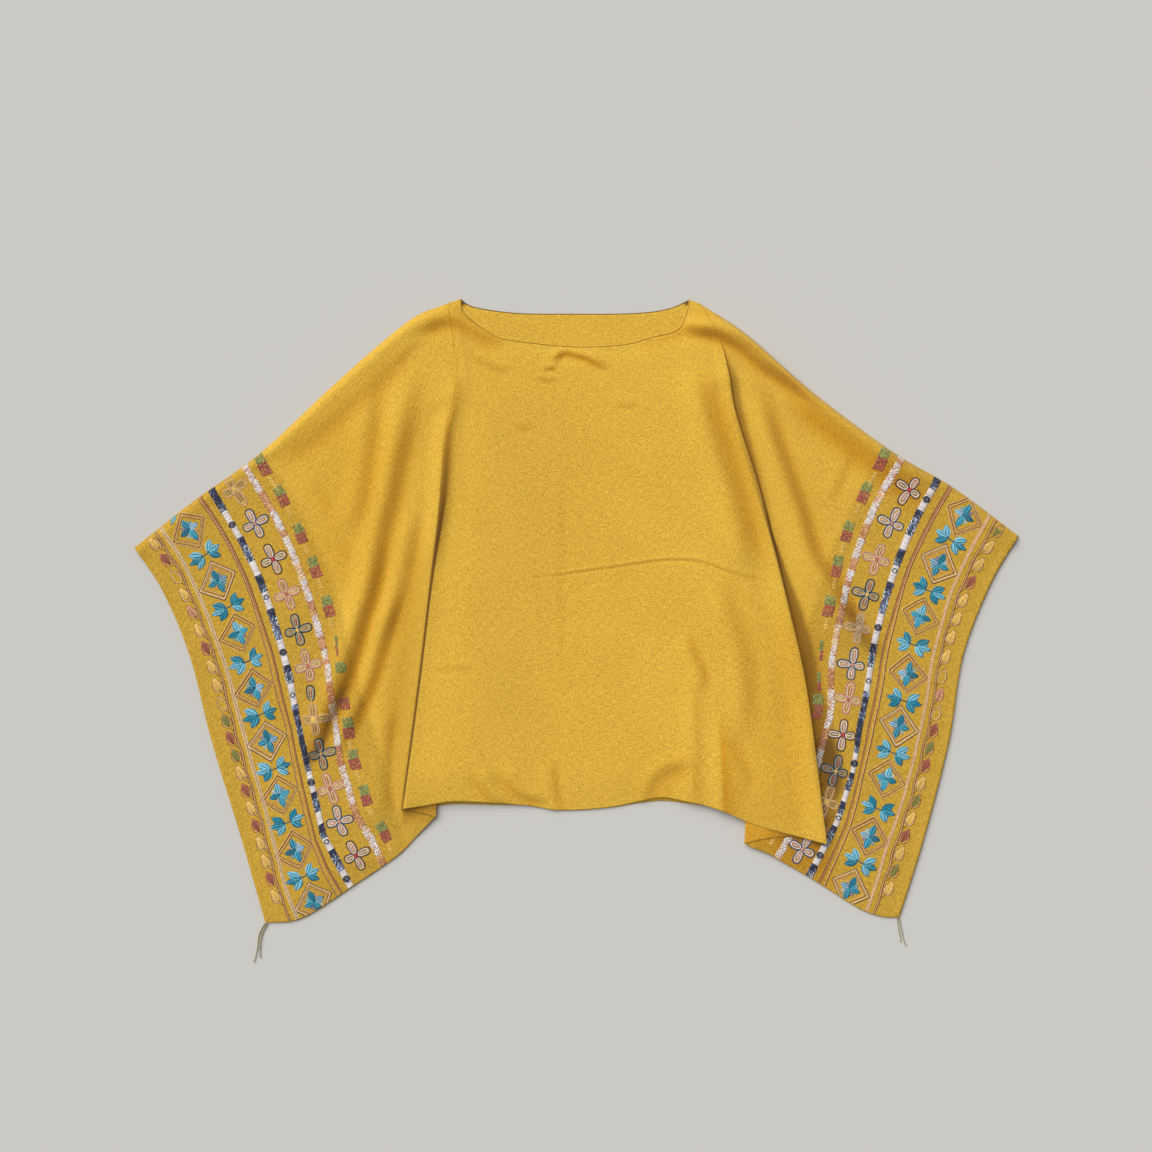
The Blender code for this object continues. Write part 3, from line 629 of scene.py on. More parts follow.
def edge_lift(side, y, inward):
    """Extra height of the body above its folded edge, coming down with the distance inward from it."""
    if not side.panel.over:
        return np.zeros_like(y)
    lift = np.interp(y, *EDGE_LIFT[side.name])
    return lift * (1 - smoothstep(inward / LIFT_FADE))


def pleat_lift(side, backs, x, y):
    """Height that a pleat's layers add under the body panel; the back's body lies under them all."""
    if not side.panel.over:
        return np.zeros_like(x)
    lift = backs.under_body(x, y) * backs.at(y, backs.rise)
    return lift + side.under_body(x, y) * side.at(y, side.rise)


def border_shares(steps):
    """Shares of the way across a border, with three close strips for the turned hem of the cuff."""
    hem = np.array([0, 2.5, 5.0, TURNED_HEM, TURNED_HEM + 1.5]) / BORDER
    return np.append(hem, np.linspace(hem[-1], 1, steps - 3)[1:])


def wing(side, backs):
    """Grid of one wing and its pleat, from the cuff in to the body, as rows of (x, y, z).

    backs is the back panel's same side, whose level carries the front.
    """
    panel, rows = side.panel, side.panel.rows
    border_steps, wing_steps, _ = panel.columns
    shoulder, hem = SHOULDER[side.name], WING_HEM[side.name]
    inner_edge = side.outer + side.offset[:, :1] * side.across
    cuff = along(CUFF[side.name], rows)
    evenly_down = np.linspace(0, 1, CREASE_POINTS + 1)
    heading = np.gradient(along(CUFF[side.name], evenly_down), axis=0)
    heading = unit(np.stack([np.interp(rows, evenly_down, heading[:, k]) for k in (0, 1)], axis=1))
    inward = side.inward * square_to(heading)
    across = border_shares(border_steps)
    split = BORDER / length(shoulder)
    hem_split = BORDER_AT_HEM / length(hem)
    top = along(shoulder, np.append(split * across, np.linspace(split, 1, wing_steps + 1)[1:]))
    bottom = along(hem, np.append(hem_split * across, np.linspace(hem_split, 1, wing_steps + 1)[1:]))
    slide = np.linspace(0, 1, wing_steps + 1)[:, None]
    top[border_steps:] += slide * (inner_edge[0] - top[-1])
    bottom[border_steps:] += slide * (inner_edge[-1] - bottom[-1])
    border = cuff + BORDER * inward
    border += ((1 - rows) ** 2)[:, None] * (top[border_steps] - border[0])
    border += (rows ** 2)[:, None] * (bottom[border_steps] - border[-1])
    outside = coons(top[:border_steps + 1], bottom[:border_steps + 1], cuff, border, across, rows)
    inside = coons(top[border_steps:], bottom[border_steps:], border, inner_edge, slide[:, 0], rows)
    flat = np.hstack([outside, inside[:, 1:]])
    x, y = flat[..., 0], flat[..., 1]
    level = FLOOR + backs.cover(x, y) * backs.at(y, backs.rise)
    if panel.over:
        share = np.broadcast_to(rows[:, None], x.shape)
        from_cuff = np.append(BORDER * across, np.full(wing_steps, BORDER))
        relief = front_relief(x, y, share, from_cuff[None], side.room(x, y, False), x[:1])
        level = level + loft(x, y, share) + relief + turned_hem(share, from_cuff[None])
    grid = np.dstack([x, y, level])
    return np.hstack([grid, pleat_layers(side, backs, level[:, -1:])[:, 1:]])


def turned_hem(share, from_edge):
    """Height that the turned hems stand proud: a low step within their width of the cuff or the hem."""
    gap = np.minimum((1 - share) * PANEL_LENGTH, from_edge)
    return HEM_STEP * (1 - smoothstep((gap - TURNED_HEM + 1) / 2))


def pleat_layers(side, backs, start):
    """Grid of a pleat's two folds and middle layer, from the wing's height, start, to the body's."""
    panel, rows = side.panel, side.panel.rows
    flat = side.outer[:, None] + side.offset[..., None] * side.across[:, None]
    share_across = np.clip(side.offset / np.maximum(side.overlap, LAYER)[:, None], 0, 1)
    flat[..., 1] += side.pleat.hem_bow * rows[:, None] ** 4 * np.sin(pi * share_across)
    x, y = flat[:, -1, 0], flat[:, -1, 1]
    end = FLOOR + pleat_lift(side, backs, x, y)
    if panel.over:
        room = side.room(x, y, True)
        end += loft(x, y, rows) + front_relief(x, y, rows, np.full_like(x, BORDER), room, x[:1])
    climb = side.height if panel.over else -side.height
    miss = end[:, None] - start - climb[:, -1:]
    slide = np.linspace(0, 1, climb.shape[1])[None]
    folded = np.abs(climb) + 0.2 * slide
    lift = edge_lift(side, flat[..., 1], side.offset) * folded / folded[:, -1:]
    level = start + climb + slide * miss + lift
    return np.dstack([flat[..., 0], flat[..., 1], level])


def body(panel, left, right, left_wing, right_wing, backs):
    """Grid of the body between the two pleats, from left to right, as rows of (x, y, z).

    The columns below the left neck corner bow away from the neck's edge, as a distance times its exponential
    fall, so that no quad there is a sliver.
    """
    rows, steps = panel.rows, panel.columns[2]
    first, last = left_wing[:, -1, :2], right_wing[:, -1, :2]
    neck = along(panel.neck, np.linspace(0, 1, steps + 1 - 2 * CORNER_STEPS))
    share = np.linspace(0, 1, CORNER_STEPS, endpoint=False)[:, None]
    corners = first[0] + share * (neck[0] - first[0]), last[0] + share[::-1] * (neck[-1] - last[0])
    top = np.vstack([corners[0], neck, corners[1]])
    slide = np.linspace(0, 1, steps + 1)
    bottom = along(panel.hem, slide)
    pull = slide[:, None] ** 4 * (last[-1] - bottom[-1])
    bottom += (1 - slide[:, None]) ** 4 * (first[-1] - bottom[0]) + pull
    flat = coons(top, bottom, first, last, slide, rows)
    down = rows[:, None] * PANEL_LENGTH / CORNER_DOWN
    near = np.interp(np.arange(steps + 1), (0, CORNER_STEPS, CORNER_STEPS + 12), (0, 1, 0))
    flat[..., 0] -= CORNER_SPREAD * down * np.exp(1 - down) * near
    x, y = flat[..., 0], flat[..., 1]
    if not panel.over:
        return np.dstack([x, y, np.full_like(x, FLOOR)])
    share = np.broadcast_to(rows[:, None], x.shape)
    level = FLOOR + loft(x, y, share) + pleat_lift(left, backs[0], x, y) + pleat_lift(right, backs[1], x, y)
    level = level + edge_lift(left, y, left.from_fold(x, y)) + edge_lift(right, y, right.from_fold(x, y))
    room = np.minimum(left.room(x, y, True), right.room(x, y, True))
    relief = front_relief(x, y, share, np.full_like(x, BORDER), room, x[:1])
    return np.dstack([x, y, level + relief + turned_hem(share, neck_gap(x, y))])


@lru_cache(maxsize=None)
def panel_grid(which):
    """Middle surface of the front or back panel, from the left cuff to the right one, in millimetres."""
    panel = FRONT if which == "front" else BACK
    backs = [Side(name, BACK) for name in ("left", "right")]
    sides = [Side(name, panel) for name in ("left", "right")]
    wings = [wing(side, carrier) for side, carrier in zip(sides, backs)]
    middle = body(panel, *sides, *wings, backs)
    grid = np.hstack([wings[0], middle[:, 1:-1], wings[1][:, ::-1]])
    if panel.over:
        grid[..., 2] += ridge_maps(grid[..., 0], grid[..., 1])[0]
    return grid


@lru_cache(maxsize=None)
def front_normals():
    """Upward unit normals of the front's middle surface: the cross product of its two tangents."""
    grid = panel_grid("front")
    return unit(np.cross(np.gradient(grid, axis=1), -np.gradient(grid, axis=0)))


# Places on the cloth


def read_grid(values, row, column):
    """Values of a grid at fractional rows and columns, straight between its points."""
    row = np.clip(row, 0, values.shape[0] - 1.001)
    column = np.clip(column, 0, values.shape[1] - 1.001)
    i, j = row.astype(int), column.astype(int)
    a, b = (row - i)[..., None], (column - j)[..., None]
    upper = (1 - b) * values[i, j] + b * values[i, j + 1]
    lower = (1 - b) * values[i + 1, j] + b * values[i + 1, j + 1]
    return (1 - a) * upper + a * lower


def drift(side, u, d):
    """How far the embroidery at (u, d) lies from its own distance to the cuff, read from the table."""
    row = np.interp(u, DRIFT_ALONG, np.arange(len(DRIFT_ALONG)))
    column = np.interp(d, DRIFT_FROM, np.arange(len(DRIFT_FROM)))
    return read_grid(np.array(DRIFT[side], float)[..., None], row, column)[..., 0]


def on_border(side):
    """Function that turns (u, d) on one side's border into a point of the cloth, its normal and its room.

    The room is 1 where the cloth lies open and less where the body's pleat covers it.
    """
    grid, normals = panel_grid("front"), front_normals()
    steps, last = FRONT.columns[0], grid.shape[1] - 1
    cuff = length(CUFF[side])
    sign = 1 if side == "left" else -1
    wing_step = np.linalg.norm(grid[:, sign * (steps + 1)] - grid[:, sign * steps], axis=1)
    fold = Side(side, FRONT)

    def place(u, d):
        """Points, normals and room, read from the grid at the row and column of each (u, d)."""
        u = np.clip(u, 1.0, cuff - 1.0)
        row = np.interp(u / cuff, FRONT.rows, np.arange(len(FRONT.rows)))
        away = d + drift(side, u, d)
        column = np.interp(away / BORDER, border_shares(steps), np.arange(steps + 1))
        column = column + np.maximum(away - BORDER, 0) / np.interp(row, np.arange(len(wing_step)), wing_step)
        column = column if side == "left" else last - column
        point = read_grid(grid, row, column)
        x, y = point[..., 0], point[..., 1]
        covered = smoothstep((fold.from_fold(x, y) + COVERED_FROM) / COVERED_FADE)
        covered = covered * smoothstep((y - fold.hem_y + COVERED_BELOW) / COVERED_FADE)
        return point, read_grid(normals, row, column), 1 - PRESSED * covered

    return place


def on_edge(first, last, at_hem):
    """Function that turns (distance along an edge of the front, distance in from it) into places."""
    grid, normals = panel_grid("front"), front_normals()
    run = run_along(grid[-1 if at_hem else 0, first:last + 1])

    def place(u, d):
        """Points, normals and full room, read from the grid at the row and column of each (u, d)."""
        share = 1 - d / PANEL_LENGTH if at_hem else d / PANEL_LENGTH
        row = np.interp(share, FRONT.rows, np.arange(len(FRONT.rows)))
        column = np.interp(u, run, np.arange(first, last + 1))
        return read_grid(grid, row, column), read_grid(normals, row, column), np.ones(np.shape(u))

    return place, run[-1]


# Stitches. Each is a row of: u and d of its start and end, bow sideways, width, height, colour, and the
# centre of its motif where it has one

STITCH_T = np.array([0, .17, .17, .17, .17, .5, .5, .5, .5, .83, .83, .83, .83, 1])
STITCH_SIDE = np.array([0, .40, 0, -.40, 0, .5, 0, -.5, 0, .40, 0, -.40, 0, 0])
STITCH_UP = np.array([0, .15, .80, .15, -.2, .2, 1, .2, -.2, .15, .80, .15, -.2, 0])
RING = [(1, 2), (2, 3), (3, 4), (4, 1)]
STITCH_FACES = np.array(
    [(0, b, a) for a, b in RING]
    + [face for k in (0, 4) for a, b in RING
       for face in ((a + k, b + k, b + k + 4), (a + k, b + k + 4, a + k + 4))]
    + [(13, a + 8, b + 8) for a, b in RING]
)


def threads(start, end, bow=0.0, width=1.2, height=0.5, colour="gold"):
    """Stitches from starts to ends, each with its bow, width and height, in one colour or one each."""
    start, end, bows = np.broadcast_arrays(np.atleast_2d(start), np.atleast_2d(end), np.reshape(bow, (-1, 1)))
    names = [colour] * len(start) if isinstance(colour, str) else list(colour)
    made = np.full((len(start), 10), np.nan)
    made[:, 0:2], made[:, 2:4] = start, end
    made[:, 4], made[:, 5], made[:, 6] = bows[:, 0], width, height
    made[:, 7] = [COLOURS.index(name) for name in names]
    return made


def line(path, colour, pitch=2.8, width=1.1, height=0.5, lean=0.18):
    """Stem stitch along a path: equal short stitches, each leaning across it and overlapping the next."""
    path = np.asarray(path, float)
    run = run_along(path)
    count = max(1, int(round(run[-1] / pitch)))
    at = np.linspace(0, run[-1], count + 1)
    point = np.stack([np.interp(at, run, path[:, k]) for k in (0, 1)], axis=1)
    step = np.diff(point, axis=0)
    side = square_to(step)
    side /= np.maximum(np.linalg.norm(side, axis=1)[:, None], 1e-6)
    start = point[:-1] - 0.15 * step - lean * width * side
    return threads(start, point[1:] + 0.15 * step + lean * width * side, 0.0, width, height, colour)


def motif(centre, parts):
    """The parts of a motif as one, which keeps its shape about its centre."""
    made = np.vstack(parts)
    made[:, 8:10] = centre
    return made


def axis_of(base, tip):
    """A base, the way from it to a tip, and the unit step square to that way."""
    base = np.asarray(base, float)
    axis = np.asarray(tip, float) - base
    return base, axis, unit(square_to(axis))


def petal(base, tip, width, colours, thread=1.5, height=0.75, blunt=0.5):
    """Satin petal: threads that leave one point, bow out to both sides and end along a rounded tip.

    A thread at s, from -1 to 1 across the petal, ends at blunt times s of half the width and bows by 1.08
    less 0.72 blunt times s of it. The tip falls back by 0.08 and 0.16 blunt times the square of s.
    """
    count = max(3, int(round(width / (0.8 * thread))))
    spread = np.linspace(-1, 1, count)
    base, axis, side = axis_of(base, tip)
    half = (width - thread) / 2
    reach = (1 - (0.08 + 0.16 * blunt) * spread ** 2)[:, None]
    end = base + axis * reach + side * (blunt * half * spread)[:, None]
    tints = colours.split()
    names = [tints[k % len(tints)] for k in range(count)]
    bow = (1.08 - 0.72 * blunt) * half * spread
    return threads(np.repeat(base[None], count, axis=0), end, bow, thread, height, names)


def oval(base, tip, width, steps=29):
    """Closed path from base to tip, nearly even in width: a sine to the power 0.6, fuller near the tip."""
    t = np.linspace(0, 2 * pi, steps)[:, None]
    base, axis, side = axis_of(base, tip)
    half = width / 2 * np.sign(np.sin(t)) * np.abs(np.sin(t)) ** 0.6 * (0.9 - 0.12 * np.cos(t))
    return base + axis * (1 - np.cos(t)) / 2 + side * half


def almond(base, tip, width, steps=17):
    """Closed path with a point at both ends and fullest near its base: the sine of pi t to the power 0.65."""
    t = np.linspace(0, 1, steps)[:, None]
    base, axis, side = axis_of(base, tip)
    half = side * width / 2 * np.sin(pi * t ** 0.65)
    out = base + axis * t + half
    back = base + axis * t - half
    return np.vstack([out, back[-2::-1]])


def row_path(d, cuff, sway=0.0, wave=60.0):
    """Path down the whole border at a distance from the cuff, swaying evenly to either side of it."""
    u = np.linspace(0, cuff, 180)
    return np.stack([u, d + sway * np.sin(2 * pi * u / wave)], axis=1)


def scattered(names, count, seed):
    """Names drawn evenly at random from those in a line of words, the same each time."""
    names = names.split()
    return [names[k] for k in np.random.default_rng(seed).integers(0, len(names), count)]


def way(degrees):
    """Unit step in (u, d) at an angle from the way down the cuff."""
    return np.array((np.cos(radians(degrees)), np.sin(radians(degrees))))


def crosses(centre, size, cells, colours, seed, width=1.3, height=0.5):
    """Block of cross stitches: rows of small crosses, each of two threads, in mixed colours."""
    steps = [(np.arange(count) - (count - 1) / 2) * long / count for long, count in zip(size, cells)]
    u, d = np.meshgrid(*steps, indexing="ij")
    middle = np.stack([u.ravel(), d.ravel()], axis=1) + np.asarray(centre, float)
    middle = middle + np.random.default_rng(seed).normal(0, 0.35, middle.shape)
    half = np.array(size) / np.array(cells) / 2 * 1.1
    return np.vstack([
        threads(middle - half, middle + half, 0.0, width, height, scattered(colours, len(middle), seed)),
        threads(middle + half * (1, -1), middle + half * (-1, 1), 0.0, width, height + 0.2,
                scattered(colours, len(middle), seed + 1)),
    ])


def leaf_row(side):
    """Leaves that hang from a vine along the cuff: almonds of satin threads with a double outline."""
    cuff = length(CUFF[side])
    vine = ((-0.6, "umber", 1.0), (0.8, "tan", 1.4), (2.1, "brown", 1.0))
    parts = [line(row_path(VINE_D + d, cuff, 0.9, 47), name, width=width) for d, name, width in vine]
    fillings = {"gold": "gold yellow gold bare", "red": "red rust red brown", "olive": "olive green olive",
                "pink": "pink tan pink rust"}
    for u, name in zip(LEAVES_AT[side], LEAF_COLOURS[side].split()):
        base, tip, stalk = (np.add((u, LEAF_D), step) for step in (LEAF_BASE, LEAF_TIP, LEAF_STALK))
        filling, inner, outer = LEAF_WIDTHS
        filled = [petal(tip, base, filling, fillings[name], 1.7, 0.55, 0.5)] if name != "bare" else []
        parts.append(motif((u, LEAF_D), filled + [
            line(almond(base, tip, inner), "cream" if name in ("gold", "bare") else "tan", 2.4, 1.0),
            line(almond(base, tip, outer), "red" if name == "red" else "brown", 2.4, 1.1),
            line([base, stalk], "umber", 2.5, 0.9),
        ]))
    return np.vstack(parts)


def line_rows(side):
    """The straight rows: a pale one by the leaves and two brown ones past the diamonds, which drift apart."""
    cuff = length(CUFF[side])
    pale, core = ("cream", "straw") if side == "left" else ("tan", "cream")
    apart = 1.8 * smoothstep((np.linspace(0, cuff, 180) - 110) / 90)
    rows = ((CREAM_D - 1.6, pale, 1.6, 0), (CREAM_D, core, 1.5, 0), (CREAM_D + 1.6, pale, 1.6, 0),
            (BROWN_D - 2.4, "umber", 1.0, -1), (BROWN_D - 1.2, "tan", 1.5, -1),
            (BROWN_D + 0.2, "rust", 1.3, 1), (BROWN_D + 1.4, "orange", 1.5, 1),
            (BROWN_D + 2.6, "umber", 1.1, 1))
    parts = []
    for d, name, width, way_out in rows:
        path = row_path(d, cuff, 0.3, 83)
        path[:, 1] += way_out * apart
        parts.append(line(path, name, 3.2, width, 0.55))
    return np.vstack(parts)


def diamond(u, k):
    """Diamond with two frames, each a pale line beside a dark one, and a four-petalled star inside them."""
    corners = np.array([(-1, 0.09), (-0.09, 1), (1, -0.09), (0.09, -1), (-1, 0.09)])
    middle = np.array((u, DIAMOND_D))
    pale = ("tan", "cream", "gold")[k % 3]
    frames = ((26.8, pale, 1.7), (25.1, "umber", 1.0), (21.8, "tan", 1.6), (20.2, "brown", 1.0))
    if k % 3 == 1:
        frames = ((26.8, "umber", 1.3), (25.0, pale, 1.7), (21.4, "brown", 1.0), (19.9, "tan", 1.6))
    parts = [line(middle + corners * (reach, reach + 0.4), name, 2.8, width) for reach, name, width in frames]
    star = (
        (6, 18.0, 9.6, ("turquoise sky turquoise", "teal turquoise sky", "sky turquoise")),
        (96, 14.8, 9.0, ("pale lilac pale sky", "turquoise pale lilac", "sky turquoise")),
        (186, 17.0, 9.6, ("turquoise sky teal", "turquoise teal", "sky pale turquoise")),
        (276, 14.8, 9.0, ("teal turquoise slate", "turquoise sky teal", "turquoise teal")),
    )
    for angle, reach, width, choices in star:
        parts.append(petal(middle, middle + way(angle) * reach, width, choices[k % 3], 1.7, 0.85, 0.5))
        slant = way(angle + 45)
        tint = ("tan", "sky", "lilac", "pale")[(k + angle // 90) % 4]
        parts.append(threads(middle + slant * 3, middle + slant * 12.0, (-2.4, 0, 2.4), 1.4, 0.5, [tint] * 3))
    return motif(middle, parts)


def diamond_row(side):
    """The diamonds down the middle of the border."""
    return np.vstack([diamond(u, k) for k, u in enumerate(DIAMONDS_AT[side])])


def bow_row(side):
    """Turquoise bows between the diamonds: a fan of three satin petals to each side of a short stalk."""
    shades = ("teal turquoise teal sky", "turquoise sky pale", "sky turquoise pale",
              "turquoise teal turquoise", "sky pale turquoise", "turquoise teal sky")
    parts = []
    for k, u in enumerate(BOWS_AT[side]):
        middle = np.array((u, DIAMOND_D))
        bow = [line([middle - way(98) * 6, middle + way(98) * 6], "teal", 3.0, 1.8, 0.8)]
        for half in (-1, 1):
            base = middle + half * way(98) * 4.0
            fan = ((-42, 18.5, 10.5), (45, 19.0, 11.0), (2, 20.5, 9.5))
            for step, (turn, reach, width) in enumerate(fan):
                tip = base + half * way(98 - turn) * reach
                names = shades[(2 * step + k + (3 if half > 0 else 1)) % len(shades)]
                bow.append(petal(base, tip, width, names, 1.7, 0.9 + 0.1 * step, 0.42))
            for turn in (-20, 22):
                bow.append(threads(base, base + half * way(98 - turn) * 14.0, 0.0, 1.0, 1.15, "teal"))
        parts.append(motif(middle, bow))
    return np.vstack(parts)


def cord_row(side):
    """Chequered cord: rounded satin laid across it, knotted in the dark blocks, some with a ring sewn on."""
    cuff = length(CUFF[side])
    knots = {"navy": "navy navy navy slate navy lilac", "lilac": "lilac pale slate",
             "mixed": "slate lilac white navy pale slate lilac"}
    grounds = {"mixed": "slate", "black_ring": "white", "white_ring": "white", "lilac_ring": "lilac"}
    turn = np.linspace(0, 2 * pi, 13)[:, None]
    circle = np.hstack([np.cos(turn), np.sin(turn)])
    parts = []
    at = 0.0 if side == "left" else -16.0
    index = 0
    while at < cuff:
        name, long = CORD_BLOCKS[index % len(CORD_BLOCKS)]
        middle = np.array((at + long / 2, CORD_D))
        u = np.arange(at + 0.6, at + long - 0.2, CORD_PITCH)
        start = np.stack([u, np.full_like(u, CORD_D - CORD_WIDTH / 2)], axis=1)
        height = 0.7 if name in knots else 1.0
        parts.append(threads(start, start + (0.3, CORD_WIDTH), 0.0, 1.6, height, grounds.get(name, name)))
        if name in knots:
            cells = (max(2, int(round(long / 3.6))), 3)
            parts.append(crosses(middle, (long, 10.6), cells, knots[name], index, 1.7, 0.9))
        if name.endswith("ring"):
            black = name == "black_ring"
            disc = [line(middle + reach * circle, "navy" if black else "slate", 1.6, 2.6, 1.6)
                    for reach in ((4.0, 2.4, 0.9) if black else (2.9,))]
            disc.append(threads(middle - (0.7, 0), middle + (0.7, 0), 0.0, 1.3, 1.9, "white"))
            parts.append(motif(middle, disc))
        at += long
        index += 1
    return np.vstack(parts)


def flower(u, kind, k, shown):
    """Flower of looped petals: an outline, a line inside it, a filling and a heart of short threads."""
    edge, inner, down_fill, across_fill, heart = FLOWER_COLOURS[kind].split()
    middle = np.array((u, FLOWER_D))
    parts = []
    for step in shown:
        step_way = way((4, -2, 1)[k % 3] + 90 * step)
        reach = PETAL_REACH[step]
        side = square_to(step_way)
        outside = oval(middle + step_way * 2.2, middle + step_way * reach, 11.6)
        parts.append(line(outside, edge, 2.4, 1.9, 0.65))
        inside = oval(middle + step_way * 3.2, middle + step_way * (reach - 2.2), 7.8)
        parts.append(line(inside, inner, 2.4, 1.6, 0.55))
        tint = down_fill if step % 2 == 0 else across_fill
        offsets = np.array((-1.5, 0.0, 1.5))[:, None]
        start = middle + step_way * 5.0 + side * offsets
        parts.append(threads(start, start + step_way * (reach - 9.0), 0.0, 1.4, 0.45, [tint, inner, tint]))
    for angle in (0, 40, 90, 140)[:len(shown)]:
        spoke = way(angle) * (5.4 if angle == 0 else 4.0)
        parts.append(threads(middle - spoke, middle + spoke, 0.0, 2.1, 0.95, heart))
    return motif(middle, parts)


def flower_row(side):
    """The looped flowers beside the cord."""
    places = zip(FLOWERS_AT[side], FLOWER_KINDS[side].split())
    shown = FLOWERS_SHOWN[side]
    return np.vstack([flower(u, kind, k, shown.get(k, (0, 1, 2, 3))) for k, (u, kind) in enumerate(places)])


def evenly(side, d, pitch):
    """Distances along the cuff whose places at a distance from it lie evenly on the cloth."""
    u = np.linspace(1, length(CUFF[side]) - 1, 200)
    point = on_border(side)(u, np.full_like(u, d))[0]
    run = run_along(point)
    at = np.arange(pitch / 2, run[-1], pitch)
    return np.interp(at, run, u), at


def ladder_row(side):
    """Ladder of small cross stitches, two abreast over satin laid across, in white and rust lengths."""
    names, lengths = zip(*LADDER_BLOCKS)
    ends = np.cumsum(lengths)
    shift = 0 if side == "left" else 96
    crossed = {"white": "white white cream white pink", "rust": "rust tan rust pink",
               "cream": "cream gold cream pink"}
    parts = []
    u, at = evenly(side, LADDER_D, LADDER_PITCH)
    kinds = [names[k] for k in np.searchsorted(ends, (at + shift) % ends[-1])]
    grounds = ["tan" if kind == "rust" else kind for kind in kinds]
    start = np.stack([u, np.full_like(u, LADDER_D - LADDER_WIDTH / 2)], axis=1)
    parts.append(threads(start, start + (0.4, LADDER_WIDTH), 0.0, 1.7, 0.35, grounds))
    u, at = evenly(side, LADDER_D, RUNG_PITCH)
    kinds = [names[k] for k in np.searchsorted(ends, (at + shift) % ends[-1])]
    chance = np.random.default_rng(5 if side == "left" else 6)
    for k, kind in enumerate(kinds):
        for column in (-1, 1):
            middle = np.array((u[k], LADDER_D + 2.5 * column)) + chance.normal(0, 0.25, 2)
            seed = 4 * k + column + 9
            parts.append(motif(middle, [crosses(middle, (5.0, 5.0), (1, 1), crossed[kind], seed, 1.7, 0.6)]))
    return np.vstack(parts)


def square_row(side):
    """Green and red squares of cross stitch along the border's inner side, and yellow zigzags after them."""
    blocks = (("leaf green leaf olive", (13.0, 12.5)), ("red rust crimson rust red", (14.5, 13.5)))
    parts = []
    for k, u in enumerate(SQUARES_AT[side]):
        middle = np.array((u, SQUARE_D))
        shown = SQUARES_SHOWN[side].get(k, (1, 1))
        square = []
        for step, (tints, (long, wide)) in enumerate(blocks):
            if shown[step]:
                cells = (5, max(1, int(round(5 * shown[step]))))
                centre, size = middle + (SQUARE_STEP * step, 1 - step), (long, wide * shown[step])
                square.append(crosses(centre, size, cells, tints, 7 * k + step, 1.65))
        for step in range(4 if min(shown) == 1 else 0):
            tip = middle + (ZIGZAG_AT + ZIGZAG_STEP * step, 3)
            square.append(threads(tip + (-1.5, -7), tip, 0.0, 1.3, 0.45, "yellow"))
            square.append(threads(tip, tip + (1.8, -7), 0.0, 1.1, 0.45, "gold"))
        parts += [motif(middle, square)] if square else []
    return np.vstack(parts)


def hem_run(run, gap, inset):
    """Running stitch along an edge: a thread and a space in turn, at an inset from it."""
    u = np.arange(2.0, run - 3, gap)
    start = np.stack([u, np.full_like(u, inset)], axis=1)
    return threads(start, start + (0.55 * gap, 0.0), 0.0, 0.55, 0.25, "bare")


def settle(rows, place, cuff):
    """Border stitches between the shoulder and the hem, and for each the turn that keeps its motif's shape.

    The turn is the inverse of the border's steps at the motif's centre, along and in, times the unit step
    along its row and the unit step square to it. Stitches without a motif aren't turned.
    """
    own = ~np.isnan(rows[:, 8])
    u, d, by = np.clip(rows[own, 8], BORDER_END, cuff - BORDER_END), rows[own, 9], MOTIF_STEP
    steps = [place(u + by, d)[0] - place(u - by, d)[0], place(u, d + by)[0] - place(u, d - by)[0]]
    steps = np.stack(steps, axis=-1)[:, :2] / (2 * by)
    down = unit(steps[..., 0])
    square = square_to(down)
    square *= np.sign((square * steps[..., 1]).sum(axis=1))[:, None]
    turns = np.tile(np.eye(2), (len(rows), 1, 1))
    turns[own] = np.linalg.solve(steps, np.stack([down, square], axis=-1))
    centre = np.nan_to_num(rows[:, 8:10])
    middle = (rows[:, 0:2] + rows[:, 2:4]) / 2 - centre
    middle = centre[:, 0] + (turns[:, 0] * middle).sum(axis=1)
    kept = (middle > 0.5) & (middle < cuff - 0.5)
    return rows[kept], turns[kept]


def stitch_points(rows, turns, place, seed):
    """Corners and colours of stitches, from their rows and the function that places them on the cloth.

    A stitch is a spindle: two tips and three rings of four points, whose middle line bows sideways as
    4t(1 - t) and whose crown stands on the cloth along its normal.
    """
    chance = np.random.default_rng(seed)
    centre = np.nan_to_num(rows[:, 8:10])
    start, end = rows[:, 0:2] - centre, rows[:, 2:4] - centre
    step = end - start
    size = np.maximum(np.linalg.norm(step, axis=1), 1e-6)[:, None]
    side = square_to(step) / size
    t = STITCH_T[None]
    sideways = rows[:, 4:5] * 4 * t * (1 - t) + rows[:, 5:6] * STITCH_SIDE[None]
    flat = start[:, None] + step[:, None] * t[..., None] + side[:, None] * sideways[..., None]
    flat = centre[:, None] + np.einsum("nij,nkj->nki", turns, flat)
    point, normal, room = place(flat[..., 0], flat[..., 1])
    height = rows[:, 6:7] * STITCH_UP[None] * room
    corners = point + normal * (WALL / 2 + height)[..., None]
    shade = chance.normal(1.0, 0.09, (len(rows), 1, 1))
    # painted shade of the folds on the stitches
    shade *= 1 - STITCH_FOLD_SHADOW * fold_shade(point[:, :1, 0], point[:, :1, 1])[..., None]
    base = np.array([PALETTE[name] for name in COLOURS])[rows[:, 7].astype(int)][:, None]
    colour = np.clip(base * shade, 0.003, 1) * np.ones((1, len(STITCH_T), 1))
    sides = np.broadcast_to(STITCH_SIDE[None] * rows[:, 5:6], (len(rows), len(STITCH_T)))
    return corners, colour, np.stack([t * size, sides], axis=-1)


